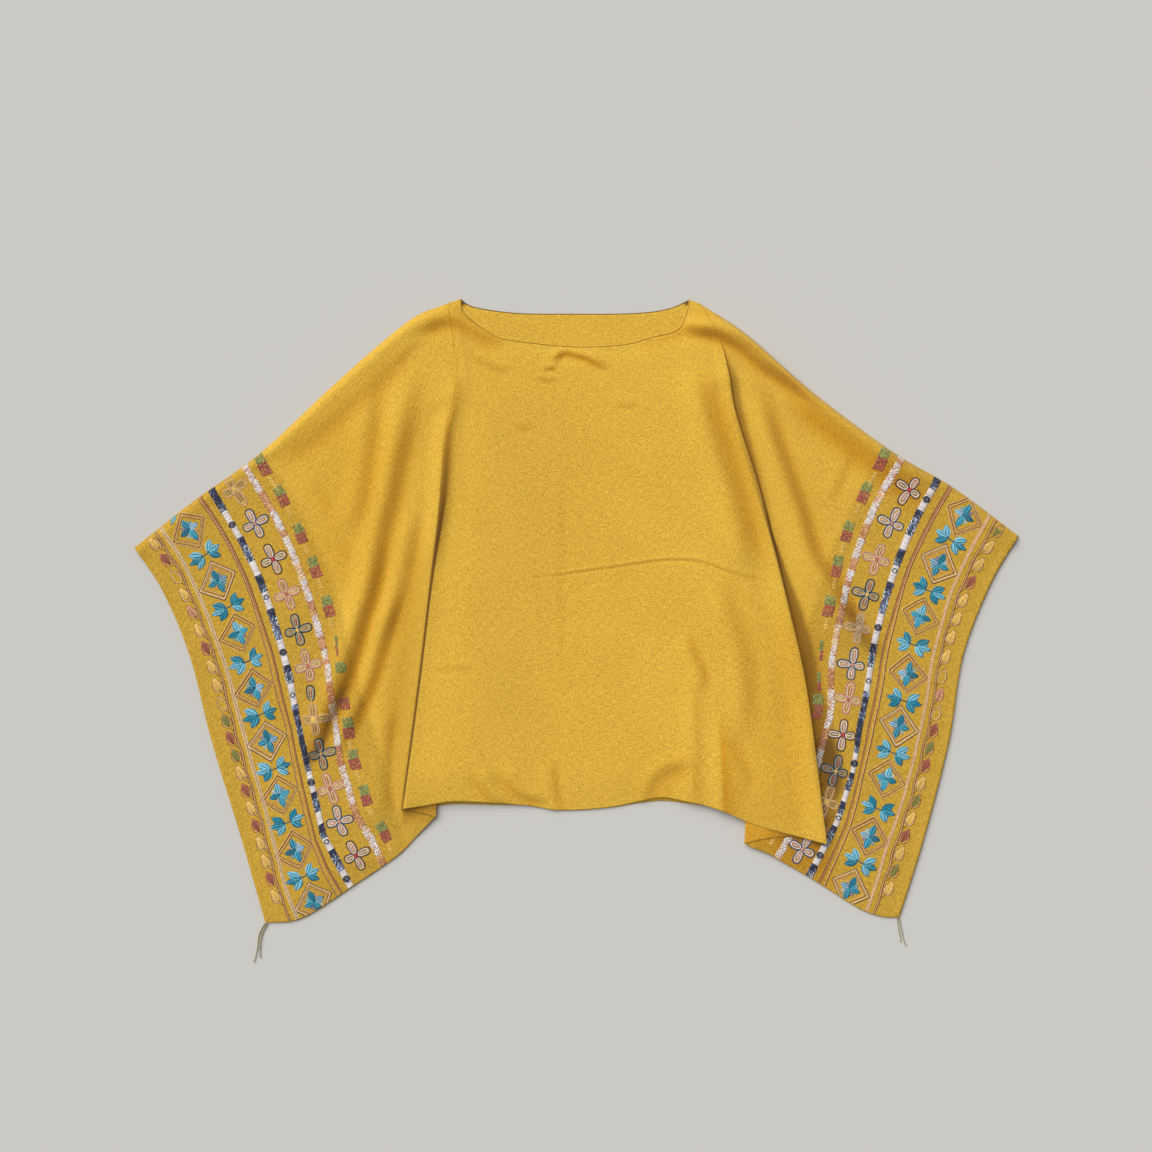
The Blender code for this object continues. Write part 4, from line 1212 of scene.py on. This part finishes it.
def stitch_object(name, batches, finish):
    """One mesh of many stitches. Each batch is its rows and their turns, what places them and its winding."""
    corners, colours, runs, faces = [], [], [], []
    count = 0
    for seed, (rows, turns, place, outward) in enumerate(batches):
        points, colour, run = stitch_points(rows, turns, place, seed + 11 * len(name))
        template = STITCH_FACES if outward else STITCH_FACES[:, ::-1]
        first = count + np.arange(len(rows))[:, None, None] * len(STITCH_T)
        faces.append((first + template[None]).reshape(-1, 3))
        corners.append(points.reshape(-1, 3))
        colours.append(colour.reshape(-1, 3))
        runs.append(run.reshape(-1, 2))
        count += len(rows) * len(STITCH_T)
    corners, colours, runs, faces = map(np.concatenate, (corners, colours, runs, faces))
    piece = mesh_object(name, corners, faces, {"thread_run": runs * MM}, finish)
    colours = np.hstack([colours, np.ones((len(colours), 1))])
    layer = piece.data.color_attributes.new("thread", "FLOAT_COLOR", "POINT")
    layer.data.foreach_set("color", colours.ravel().astype(np.float32))
    return piece


def embroider(name, make, finish):
    """Embroidery of one kind on both borders, as one piece that rides with the front."""
    batches = []
    for side in ("left", "right"):
        place = on_border(side)
        batches.append((*settle(make(side), place, length(CUFF[side])), place, side == "left"))
    piece = stitch_object(name, batches, finish)
    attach(piece, "root")
    return piece


# Meshes


def mesh_object(name, corners, faces, uv_maps, finish):
    """A smooth mesh at the origin, from corners in millimetres, with UV maps given at its corners.

    Its faces are an array of them, or a list where they have unlike numbers of corners.
    """
    mesh = bpy.data.meshes.new(name)
    mesh.from_pydata((corners * MM).tolist(), [], faces if isinstance(faces, list) else faces.tolist())
    for title, values in uv_maps.items():
        layer = mesh.uv_layers.new(name=title)
        layer.data.foreach_set("uv", values[faces].ravel().astype(np.float32))
    mesh.shade_smooth()
    mesh.materials.append(finish)
    piece = bpy.data.objects.new(name, mesh)
    bpy.context.scene.collection.objects.link(piece)
    return piece


def shade_maps(grid):
    """Painted shade of the front: tone and darkness of its hollows, place and strength of its shadow lines.

    The tone adds the creases, the ridges and a square fall beside each pleat. Under the body's hem, the
    painted shadow's tone and darkness fade as an exponential. The lines lie beside the folded edges, and the
    place is the distance from a line's middle over half its width.
    """
    x, y = grid[..., 0], grid[..., 1]
    tone = crease_maps(x, y)[1] + ridge_maps(x, y)[1]
    deep, place, strength = np.zeros_like(x), np.zeros_like(x), np.zeros_like(x)
    outer_fold = sum(FRONT.columns[:2]) + TURN_STEPS + MID_STEPS + TURN_STEPS // 2
    column = np.arange(x.shape[1])
    column = np.minimum(column, column[::-1])[None]
    on_body = column >= outer_fold
    middle = slice(outer_fold, x.shape[1] - outer_fold)
    below = np.interp(x, grid[-1, middle, 0], grid[-1, middle, 1]) - y
    # painted shadow under the body's hem, beside each pleat
    hem_shadow = np.where(on_body, 0, np.exp(-np.clip(below, 0, None) / HEM_SHADE_REACH))
    for name in ("left", "right"):
        side = Side(name, FRONT)
        away = side.from_fold(x, y)
        half = x < 0 if name == "left" else x >= 0
        shade, line = PLEAT_SHADE[name], CREVICE_SHADOW[name]
        reach = (away if shade.on_body else -away) / np.interp(y, shade.at, shade.width)
        fall = np.interp(y, shade.at, shade.strength) * (1 - np.clip(reach, 0, 1)) ** 2
        # painted shade beside the pleat
        tone += np.where((on_body == shade.on_body) & half, fall, 0)
        near_tip = smoothstep((away + 4) / 8) * (1 - smoothstep((away - HEM_SHADE_SPAN) / HEM_SHADE_FADE))
        deep += np.where(half, hem_shadow * near_tip, 0)
        # painted shadow line in the crevice beside the folded edge
        centre, spread = (np.interp(y, line.at, values) for values in (line.middle, line.half))
        place = np.where(half, (away - centre) / spread, place)
        strength = np.where(half, np.interp(y, line.at, line.strength), strength)
    dark = HEM_SHADOW_DARK * deep + fold_shade(x, y)
    tone = np.stack([np.clip(tone + HEM_SHADOW_TONE * deep, 0, 1), dark], axis=-1).reshape(-1, 2)
    return tone, np.stack([np.clip(place, -9, 9), strength], axis=-1).reshape(-1, 2)


def neck_map(panel, grid):
    """Distances in from the neck's edge and along it from its nearer corner, and far away off the body."""
    rows, columns = grid.shape[:2]
    first = sum(panel.columns[:2]) + PLEAT_STEPS + CORNER_STEPS
    last = first + panel.columns[2] - 2 * CORNER_STEPS
    run = run_along(grid[0, first:last + 1])
    from_corner = np.zeros(columns)
    from_corner[first:last + 1] = np.minimum(run, run[-1] - run)
    inward = np.full((rows, columns), OFF_MAP)
    inward[:, first:last + 1] = (panel.rows * PANEL_LENGTH)[:, None]
    return np.stack([inward, np.broadcast_to(from_corner, (rows, columns))], axis=-1).reshape(-1, 2)


def cloth_object(which, wall, finish):
    """A panel: its grid as quads that split along their shorter diagonal, thickened evenly on both sides.

    Its weave map is the length of cloth across and down, its border map the place on the nearer border.
    """
    grid = panel_grid(which)
    panel = FRONT if which == "front" else BACK
    rows, columns = grid.shape[:2]
    corner = np.arange(rows * columns).reshape(rows, columns)
    quads = np.stack([corner[1:, :-1], corner[1:, 1:], corner[:-1, 1:], corner[:-1, :-1]], axis=-1)
    quads = quads.reshape(-1, 4)
    ends = grid.reshape(-1, 3)[quads]
    first, second = (np.linalg.norm(ends[:, k] - ends[:, k + 2], axis=1) for k in (0, 1))
    quads = np.where((first > second)[:, None], np.roll(quads, -1, axis=1), quads)
    across = np.linalg.norm(np.diff(grid, axis=1), axis=-1)
    across = np.hstack([np.zeros((rows, 1)), np.cumsum(across, axis=1)])
    across -= across[:, columns // 2:columns // 2 + 1]
    down = np.linalg.norm(np.diff(grid, axis=0), axis=-1)
    down = np.vstack([np.zeros((1, columns)), np.cumsum(down, axis=0)])
    weave = np.stack([across, -down], axis=-1).reshape(-1, 2)
    from_cuff = np.full(columns, OFF_MAP)
    shares = border_shares(panel.columns[0]) * BORDER
    from_cuff[:len(shares)] = shares
    from_cuff[-len(shares):] = shares[::-1]
    beyond = BORDER + PAST_BORDER * np.arange(1, 4)
    wide = len(shares) + len(beyond)
    from_cuff[len(shares):wide] = beyond
    from_cuff[-wide:-len(shares)] = beyond[::-1]
    far = np.broadcast_to(from_cuff[None], (rows, columns))
    near = np.broadcast_to((panel.rows * length(CUFF["left"]))[:, None], (rows, columns))
    border = np.stack([far, near], axis=-1).reshape(-1, 2)
    maps = {"weave": weave * MM, "border": border * MM, "neck": neck_map(panel, grid) * MM}
    if panel.over:
        # painted shade and shadow lines of the front, kept in its tone and fold maps
        tone, fold = shade_maps(grid)
        maps.update({"tone": tone, "fold": fold})
    piece = mesh_object(which + "_cloth", grid.reshape(-1, 3), quads, maps, finish)
    thick = piece.modifiers.new("wall", "SOLIDIFY")
    thick.thickness = wall
    thick.offset = 0
    return piece


def ply(path, radius, sides=6):
    """Round thread along a path: a ring about each point, square to the path, closed at both ends."""
    heading = unit(np.gradient(path, axis=0))
    side = unit(np.cross(heading, (0, 0, 1.0)))
    up = np.cross(side, heading)
    angle = 2 * pi * np.arange(sides) / sides
    ring = side[:, None] * np.cos(angle)[None, :, None] + up[:, None] * np.sin(angle)[None, :, None]
    corners = path[:, None] + ring * radius[:, None, None]
    count = len(path)
    corner = np.arange(count * sides).reshape(count, sides)
    turned = np.roll(corner, -1, axis=1)
    walls = np.stack([corner[:-1], corner[1:], turned[1:], turned[:-1]], axis=-1).reshape(-1, 4)
    tips = [count * sides, count * sides + 1]
    start = np.stack([np.full(sides, tips[0]), corner[0], turned[0], turned[0]], axis=-1)
    finish = np.stack([np.full(sides, tips[1]), turned[-1], corner[-1], corner[-1]], axis=-1)
    corners = np.vstack([corners.reshape(-1, 3), path[:1], path[-1:]])
    return corners, walls, np.concatenate([start, finish])[:, :3]


def tail_object(tail, finish):
    """Loose thread ends: each strand is two plies wound round its route, which part near its tip."""
    corners, faces = [], []
    count = 0
    share = np.linspace(0, 1, TAIL_POINTS)
    part = smoothstep((share - TAIL_PARTS) / (1 - TAIL_PARTS))
    reach = tail.radius * (PLY_REACH + 0.9 * part)
    thick = tail.radius * (0.56 - 0.28 * share)
    for k, route in enumerate(tail.routes):
        flat = along(route, share)
        heading = unit(np.gradient(flat, axis=0))
        side = -square_to(heading)
        for phase in (0, pi):
            angle = 2 * pi * share * length(route) / PLY_TURN + phase + k
            level = TAIL_CLEARANCE + tail.radius + PLY_REACH * tail.radius * np.sin(angle) * (1 - part)
            flat_path = flat + side * (reach * np.cos(angle))[:, None]
            points, walls, caps = ply(np.column_stack([flat_path, level]), thick)
            corners.append(points)
            faces += (walls + count).tolist() + (caps + count).tolist()
            count += len(points)
    return mesh_object(tail.name, np.vstack(corners), faces, {}, finish)


# Finishes


def maths(operation, swapped=False):
    """A method that adds the Math node of an operation on a value and another, or on them swapped."""

    def method(self, other=0.0):
        """The value that the node makes."""
        pair = (other, self) if swapped else (self, other)
        made = self.finish.add("ShaderNodeMath", {"operation": operation}, dict(enumerate(pair)))
        return Value(self.finish, made.outputs[0])

    return method


class Value:
    """One socket of a material, so that sums on values add the Math nodes that work them out."""

    def __init__(self, finish, socket):
        self.finish = finish
        self.socket = socket

    __add__ = __radd__ = maths("ADD")
    __sub__, __rsub__ = maths("SUBTRACT"), maths("SUBTRACT", True)
    __mul__ = __rmul__ = maths("MULTIPLY")
    sine, size = maths("SINE"), maths("ABSOLUTE")

    def step(self, low, high):
        """0 below low, 1 above high and a smooth rise between."""
        made = self.finish.add("ShaderNodeMapRange", {"interpolation_type": "SMOOTHSTEP"},
                               {"Value": self, "From Min": low, "From Max": high})
        return Value(self.finish, made.outputs["Result"])


class Finish:
    """A material under construction, with the nodes that finishes here are made from."""

    def __init__(self, name, roughness, sheen=0.0, specular=0.3):
        self.material = bpy.data.materials.new(name)
        self.material.use_nodes = True
        self.tree = self.material.node_tree
        self.shader = self.tree.nodes["Principled BSDF"]
        self.shader.inputs["Roughness"].default_value = roughness
        self.shader.inputs["Metallic"].default_value = 0.0
        self.shader.inputs["Specular IOR Level"].default_value = specular
        self.shader.inputs["Sheen Weight"].default_value = sheen
        self.shader.inputs["Sheen Roughness"].default_value = 0.5

    def add(self, kind, settings=None, inputs=None):
        """A node of a kind, its settings first and then the values or links of its sockets."""
        node = self.tree.nodes.new(kind)
        for name, value in (settings or {}).items():
            setattr(node, name, value)
        for name, value in (inputs or {}).items():
            if isinstance(value, Value):
                self.tree.links.new(value.socket, node.inputs[name])
            else:
                node.inputs[name].default_value = value
        return node

    def uv(self, name):
        """The two values of a UV map, and the map itself."""
        made = self.add("ShaderNodeUVMap", {"uv_map": name})
        parts = self.add("ShaderNodeSeparateXYZ", None, {0: Value(self, made.outputs[0])})
        return Value(self, parts.outputs[0]), Value(self, parts.outputs[1]), Value(self, made.outputs[0])

    def stretched(self, vector, scale):
        """A vector times a size in each direction."""
        made = self.add("ShaderNodeVectorMath", {"operation": "MULTIPLY"}, {0: vector, 1: scale})
        return Value(self, made.outputs[0])

    def noise(self, vector, scale, detail=2.0, roughness=0.5):
        """Cloudy noise from 0 to 1."""
        made = self.add("ShaderNodeTexNoise", {"noise_dimensions": "3D"},
                        {"Vector": vector, "Scale": scale, "Detail": detail, "Roughness": roughness})
        return Value(self, made.outputs[0])

    def mix(self, factor, first, second, blend="MIX"):
        """Two colours mixed by a factor."""
        made = self.add("ShaderNodeMix", {"data_type": "RGBA", "blend_type": blend},
                        {0: factor, 6: first, 7: second})
        return Value(self, made.outputs[2])

    def colour(self, value):
        """Sends a colour to the shader."""
        self.tree.links.new(value.socket, self.shader.inputs["Base Color"])

    def bump(self, height, distance, strength=1.0):
        """Raises the surface by a height from 0 to 1 times a distance in metres."""
        inputs = {"Height": height, "Distance": distance, "Strength": strength}
        made = self.add("ShaderNodeBump", None, inputs)
        self.tree.links.new(made.outputs[0], self.shader.inputs["Normal"])


def rgba(colour):
    """A colour with full cover."""
    return (*colour, 1.0)


def woven_finish(name, colours, shadow_line_at, shadow_line_depth, corner_shade, folded):
    """Plain weave with uneven threads: slubs both ways, grainy dye, the border's ground and painted shade.

    Warp and weft are sines of the place across and down, whose product is the weave's height. The tone is
    a half and weighted noises, each less its own half. A painted shadow line by the neck's edge comes and
    goes between its four given distances, and corner_shade paints shade into the neck's corners. A folded
    panel has painted shade in its hollows and a painted shadow line in the crevice beside its folded edges.
    """
    made = Finish(name, roughness=0.88, sheen=0.15, specular=0.15)
    across, down, weave = made.uv("weave")
    from_cuff, _, _ = made.uv("border")
    from_neck, from_corner, _ = made.uv("neck")
    wander = made.noise(weave, 160.0, 1.0) * 0.0009
    warp = ((across + wander) * (2 * pi / WARP_PITCH)).sine()
    weft = ((down + wander) * (2 * pi / WEFT_PITCH)).sine()
    slub_warp = made.noise(made.stretched(weave, (900.0, 150.0, 1.0)), 1.0, 2.0)
    slub_weft = made.noise(made.stretched(weave, (110.0, 850.0, 1.0)), 1.0, 2.0)
    grain = made.noise(weave, 420.0, 2.0, 0.7)
    cloud = made.noise(weave, 9.0, 2.0)
    tone = 0.5 + (slub_warp - 0.5) * 1.1 + (slub_weft - 0.5) * 1.2 + (grain - 0.5) * 1.9
    tone = tone + (cloud - 0.5) * 0.3
    dyed = made.mix(tone, rgba(colours.cloth_shade), rgba(colours.cloth_light))
    ground = made.mix(tone, rgba(colours.border_shade), rgba(colours.border_light))
    in_border = 1 - from_cuff.step(0.200, 0.214)
    cloth = made.mix(in_border * 0.8, dyed, ground)
    # painted shadow line along the neck's edge
    line = from_neck.step(shadow_line_at[0], shadow_line_at[1]) * (1 - from_neck.step(shadow_line_at[2], shadow_line_at[3]))
    # painted shade in the neck's corners
    shade = (1 - from_corner.step(0.002, 0.012)) * (1 - from_neck.step(0.003, 0.008)) * corner_shade
    # painted shade in the hollows, and painted shadow in the crevices, under the body's hem and in the folds
    if folded:
        hollow_shade, deep, _ = made.uv("tone")
        place, crevice, _ = made.uv("fold")
        cloth = made.mix(hollow_shade, cloth, rgba(colours.hollow_shade), "MULTIPLY")
        dark = (1 - place.size().step(0.3, 1.3)) * crevice + deep
        cloth = made.mix(dark.step(0.0, 1.0) * 0.92, cloth, rgba(colours.seam))
    made.colour(made.mix((line * shadow_line_depth + shade).step(0.0, 1.0), cloth, rgba(colours.seam)))
    height = 0.5 + warp * weft * 0.22 + (slub_warp + slub_weft - 1.0) * 0.8 + (grain - 0.5) * 0.6
    made.bump(height, 0.0004, 0.8)
    return made.material


def floss_finish():
    """Embroidery thread: its own colour, fibres along it and the twist of its plies across it."""
    made = Finish("embroidery_floss", roughness=0.62, sheen=0.2, specular=0.35)
    along_run, across_run, run = made.uv("thread_run")
    own = Value(made, made.add("ShaderNodeAttribute", {"attribute_name": "thread"}).outputs["Color"])
    fibres = made.noise(made.stretched(run, (350.0, 2600.0, 1.0)), 1.0, 2.0)
    twist = ((along_run + across_run * 0.6) * (2 * pi / TWIST_PITCH)).sine()
    shade = made.mix(fibres.step(0.25, 0.75), (0.72, 0.72, 0.72, 1), (1.18, 1.18, 1.18, 1))
    made.colour(made.mix(1.0, own, shade, "MULTIPLY"))
    made.bump(fibres * 0.6 + twist * 0.3, 0.00025, 0.7)
    return made.material


def tail_finish(colour):
    """Waxed tail thread: olive brown with paler fibres."""
    made = Finish("tail_thread", roughness=0.7, sheen=0.1)
    place = made.add("ShaderNodeTexCoord").outputs["Object"]
    fibres = made.noise(Value(made, place), 900.0, 2.0)
    darker = tuple(0.55 * c for c in colour)
    made.colour(made.mix(fibres, rgba(darker), rgba(colour)))
    made.bump(fibres, 0.0002)
    return made.material


def floor_finish(colour):
    """Plain matt floor."""
    made = Finish("pale_floor", roughness=0.95, specular=0.1)
    made.shader.inputs["Base Color"].default_value = rgba(colour)
    return made.material


# Settings, operators and panel


class PonchoColours(PropertyGroup):
    """Colours of the cloth and its tails, as linear values."""

    cloth_light: FloatVectorProperty(
        name="Cloth light", description="Paler threads of the cloth", subtype="COLOR", min=0, max=1,
        default=(0.86, 0.53, 0.070))
    cloth_shade: FloatVectorProperty(
        name="Cloth shade", description="Darker threads of the cloth", subtype="COLOR", min=0, max=1,
        default=(0.50, 0.283, 0.022))
    border_light: FloatVectorProperty(
        name="Border light", description="Paler threads of the border's ground", subtype="COLOR",
        min=0, max=1, default=(0.69, 0.42, 0.051))
    border_shade: FloatVectorProperty(
        name="Border shade", description="Darker threads of the border's ground", subtype="COLOR",
        min=0, max=1, default=(0.33, 0.18, 0.013))
    # colour of the painted shadow: lines by the neck's edges, the neck's corners, the crevices and darkest
    # folds
    seam: FloatVectorProperty(
        name="Dark line", description="Line along the neck's edges and beside the folds", subtype="COLOR",
        min=0, max=1, default=(0.13, 0.055, 0.008))
    # painted shade: tint multiplied into the cloth's hollows
    hollow_shade: FloatVectorProperty(
        name="Hollow", description="Tint of the cloth deep in its folds", subtype="COLOR", min=0, max=1,
        default=(0.87, 0.69, 0.32))
    tail: FloatVectorProperty(
        name="Tail", description="Loose thread ends", subtype="COLOR", min=0, max=1,
        default=(0.42, 0.36, 0.15))
    floor: FloatVectorProperty(
        name="Floor", description="Surface that the poncho lies on", subtype="COLOR", min=0, max=1,
        default=(0.565, 0.553, 0.52))


class PonchoSizes(PropertyGroup):
    """Sizes of the cloth and its sewing."""

    wall: FloatProperty(
        name="Cloth thickness", description="Thickness of both panels", default=WALL * MM, min=0.0008,
        max=0.0013, unit="LENGTH", precision=4)
    hem_gap: FloatProperty(
        name="Hem stitch", description="Length of a hem stitch with its space", default=0.0052, min=0.003,
        max=0.01, unit="LENGTH", precision=4)
    hem_inset: FloatProperty(
        name="Hem inset", description="Distance of the hem stitches from the edge", default=0.006, min=0.003,
        max=0.01, unit="LENGTH", precision=4)


class PonchoLight(PropertyGroup):
    """Strength of the studio's lights."""

    key: FloatProperty(name="Key light", description="Soft light from the upper left", default=3.3, min=0)
    room: FloatProperty(name="Room", description="Strength of the even light all round", default=0.30, min=0,
                        max=4)


class PONCHO_OT_back_panel(Operator):
    """Back panel, which lies on the surface with its higher neck edge showing"""

    bl_idname = "poncho.back_panel"
    bl_label = "Back panel"

    def execute(self, context):
        scene = context.scene
        # painted shadow line along the back's neck edge and painted shade in its corners
        finish = woven_finish("back_weave_and_shade", scene.poncho_colours, shadow_line_at=(-0.001, 0.0004, 0.0010, 0.0020),
                              shadow_line_depth=0.8, corner_shade=1.0, folded=False)
        piece = cloth_object("back", scene.poncho_sizes.wall, finish)
        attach(piece, "root")
        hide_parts("back_panel")
        return {"FINISHED"}


class PONCHO_OT_front_panel(Operator):
    """Front panel: body, pleats and wings in one sheet, with its creases"""

    bl_idname = "poncho.front_panel"
    bl_label = "Front panel"

    def execute(self, context):
        scene = context.scene
        # painted shadow line along the front's neck edge, with no corner shade
        finish = woven_finish("front_weave_and_shade", scene.poncho_colours, shadow_line_at=(0.0007, 0.0016, 0.0016, 0.0027),
                              shadow_line_depth=0.95, corner_shade=0.0, folded=True)
        piece = cloth_object("front", scene.poncho_sizes.wall, finish)
        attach(piece, "root")
        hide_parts("front_panel")
        return {"FINISHED"}


class PONCHO_OT_embroidery(Operator):
    """Embroidered rows of both cuff borders, one piece for each kind"""

    bl_idname = "poncho.embroidery"
    bl_label = "Cuff embroidery"

    def execute(self, context):
        finish = floss_finish()
        kinds = (("leaf_stitches", leaf_row), ("line_stitches", line_rows), ("diamond_stitches", diamond_row),
                 ("bow_stitches", bow_row), ("cord_stitches", cord_row), ("flower_stitches", flower_row),
                 ("ladder_stitches", ladder_row), ("square_stitches", square_row))
        for name, make in kinds:
            embroider(name, make, finish)
        return {"FINISHED"}


class PONCHO_OT_hem_stitches(Operator):
    """Running stitches along the neck, the cuffs and the hems"""

    bl_idname = "poncho.hem_stitches"
    bl_label = "Hem stitches"

    def execute(self, context):
        sizes = context.scene.poncho_sizes
        gap, inset = sizes.hem_gap / MM, sizes.hem_inset / MM
        border, wing_steps, middle = FRONT.columns
        side = border + wing_steps
        start = side + PLEAT_STEPS
        end = start + middle
        last = end + start
        batches = []
        for first, final, at_hem in ((start + CORNER_STEPS, end - CORNER_STEPS, False), (0, side - 2, True),
                                     (start, end, True), (last - side + 2, last, True)):
            place, run = on_edge(first, final, at_hem)
            batches.append((*settle(hem_run(run, gap, inset), place, run), place, at_hem))
        for name in ("left", "right"):
            place, cuff = on_border(name), length(CUFF[name])
            batches.append((*settle(hem_run(cuff, gap, inset), place, cuff), place, name == "left"))
        piece = stitch_object("hem_stitches", batches, floss_finish())
        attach(piece, "root")
        return {"FINISHED"}


class PONCHO_OT_thread_tails(Operator):
    """Loose ends of the cuff thread at the two lower corners"""

    bl_idname = "poncho.thread_tails"
    bl_label = "Thread tails"

    def execute(self, context):
        finish = tail_finish(context.scene.poncho_colours.tail)
        for tail in TAILS:
            piece = tail_object(tail, finish)
            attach(piece, "root")
            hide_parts(*tail.nodes)
        return {"FINISHED"}


class PONCHO_OT_stage(Operator):
    """Pale floor, soft lights and the camera straight above"""

    bl_idname = "poncho.stage"
    bl_label = "Stage"

    def execute(self, context):
        scene = context.scene
        lights = scene.poncho_light
        x, y = FLOOR_HALF * np.array([(-1, 1, 1, -1), (-1, -1, 1, 1)])
        corners = np.column_stack([x, y, np.full(4, FLOOR_LEVEL)])
        finish = floor_finish(scene.poncho_colours.floor)
        floor = mesh_object("floor", corners, np.array([(0, 1, 2, 3)]), {}, finish)
        lamp = bpy.data.lights.new("key", "SUN")
        lamp.energy = lights.key
        lamp.angle = radians(KEY_SPREAD)
        item = bpy.data.objects.new("key", lamp)
        scene.collection.objects.link(item)
        item.location = KEY_FROM
        item.rotation_euler = (-item.location).to_track_quat("-Z", "Y").to_euler()
        world = bpy.data.worlds.new("studio")
        world.use_nodes = True
        backdrop = world.node_tree.nodes["Background"]
        backdrop.inputs["Color"].default_value = BACKDROP
        backdrop.inputs["Strength"].default_value = lights.room
        scene.world = world
        camera = bpy.data.cameras.new("overhead")
        camera.sensor_width, camera.lens = CAMERA_FILM
        item = bpy.data.objects.new("overhead", camera)
        scene.collection.objects.link(item)
        item.location = CAMERA_AT
        scene.camera = item
        scene.view_settings.view_transform = "Standard"
        return {"FINISHED"}


class PONCHO_PT_sidebar(SidebarPanel):
    """Settings and operators of the poncho"""

    bl_label = "Poncho"
    bl_space_type = "VIEW_3D"
    bl_region_type = "UI"
    bl_category = "Poncho"

    def draw(self, context):
        for group in (context.scene.poncho_sizes, context.scene.poncho_colours, context.scene.poncho_light):
            box = self.layout.box()
            for name in group.__annotations__:
                box.prop(group, name)
        for operator in OPERATORS:
            self.layout.operator(operator.bl_idname)


OPERATORS = (PONCHO_OT_back_panel, PONCHO_OT_front_panel, PONCHO_OT_embroidery, PONCHO_OT_hem_stitches,
             PONCHO_OT_thread_tails, PONCHO_OT_stage)
GROUPS = {"poncho_sizes": PonchoSizes, "poncho_colours": PonchoColours, "poncho_light": PonchoLight}


def register():
    """Registers the classes and hangs the settings on the scene."""
    for item in (*GROUPS.values(), *OPERATORS, PONCHO_PT_sidebar):
        bpy.utils.register_class(item)
    for name, group in GROUPS.items():
        setattr(bpy.types.Scene, name, PointerProperty(type=group))


def unregister():
    """Takes the settings and the classes away again."""
    for name in GROUPS:
        delattr(bpy.types.Scene, name)
    for item in (PONCHO_PT_sidebar, *reversed(OPERATORS), *GROUPS.values()):
        bpy.utils.unregister_class(item)


def main():
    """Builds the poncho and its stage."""
    register()
    bpy.ops.poncho.back_panel()
    bpy.ops.poncho.front_panel()
    bpy.ops.poncho.embroidery()
    bpy.ops.poncho.hem_stitches()
    bpy.ops.poncho.thread_tails()
    bpy.ops.poncho.stage()


if __name__ == "__main__":
    main()
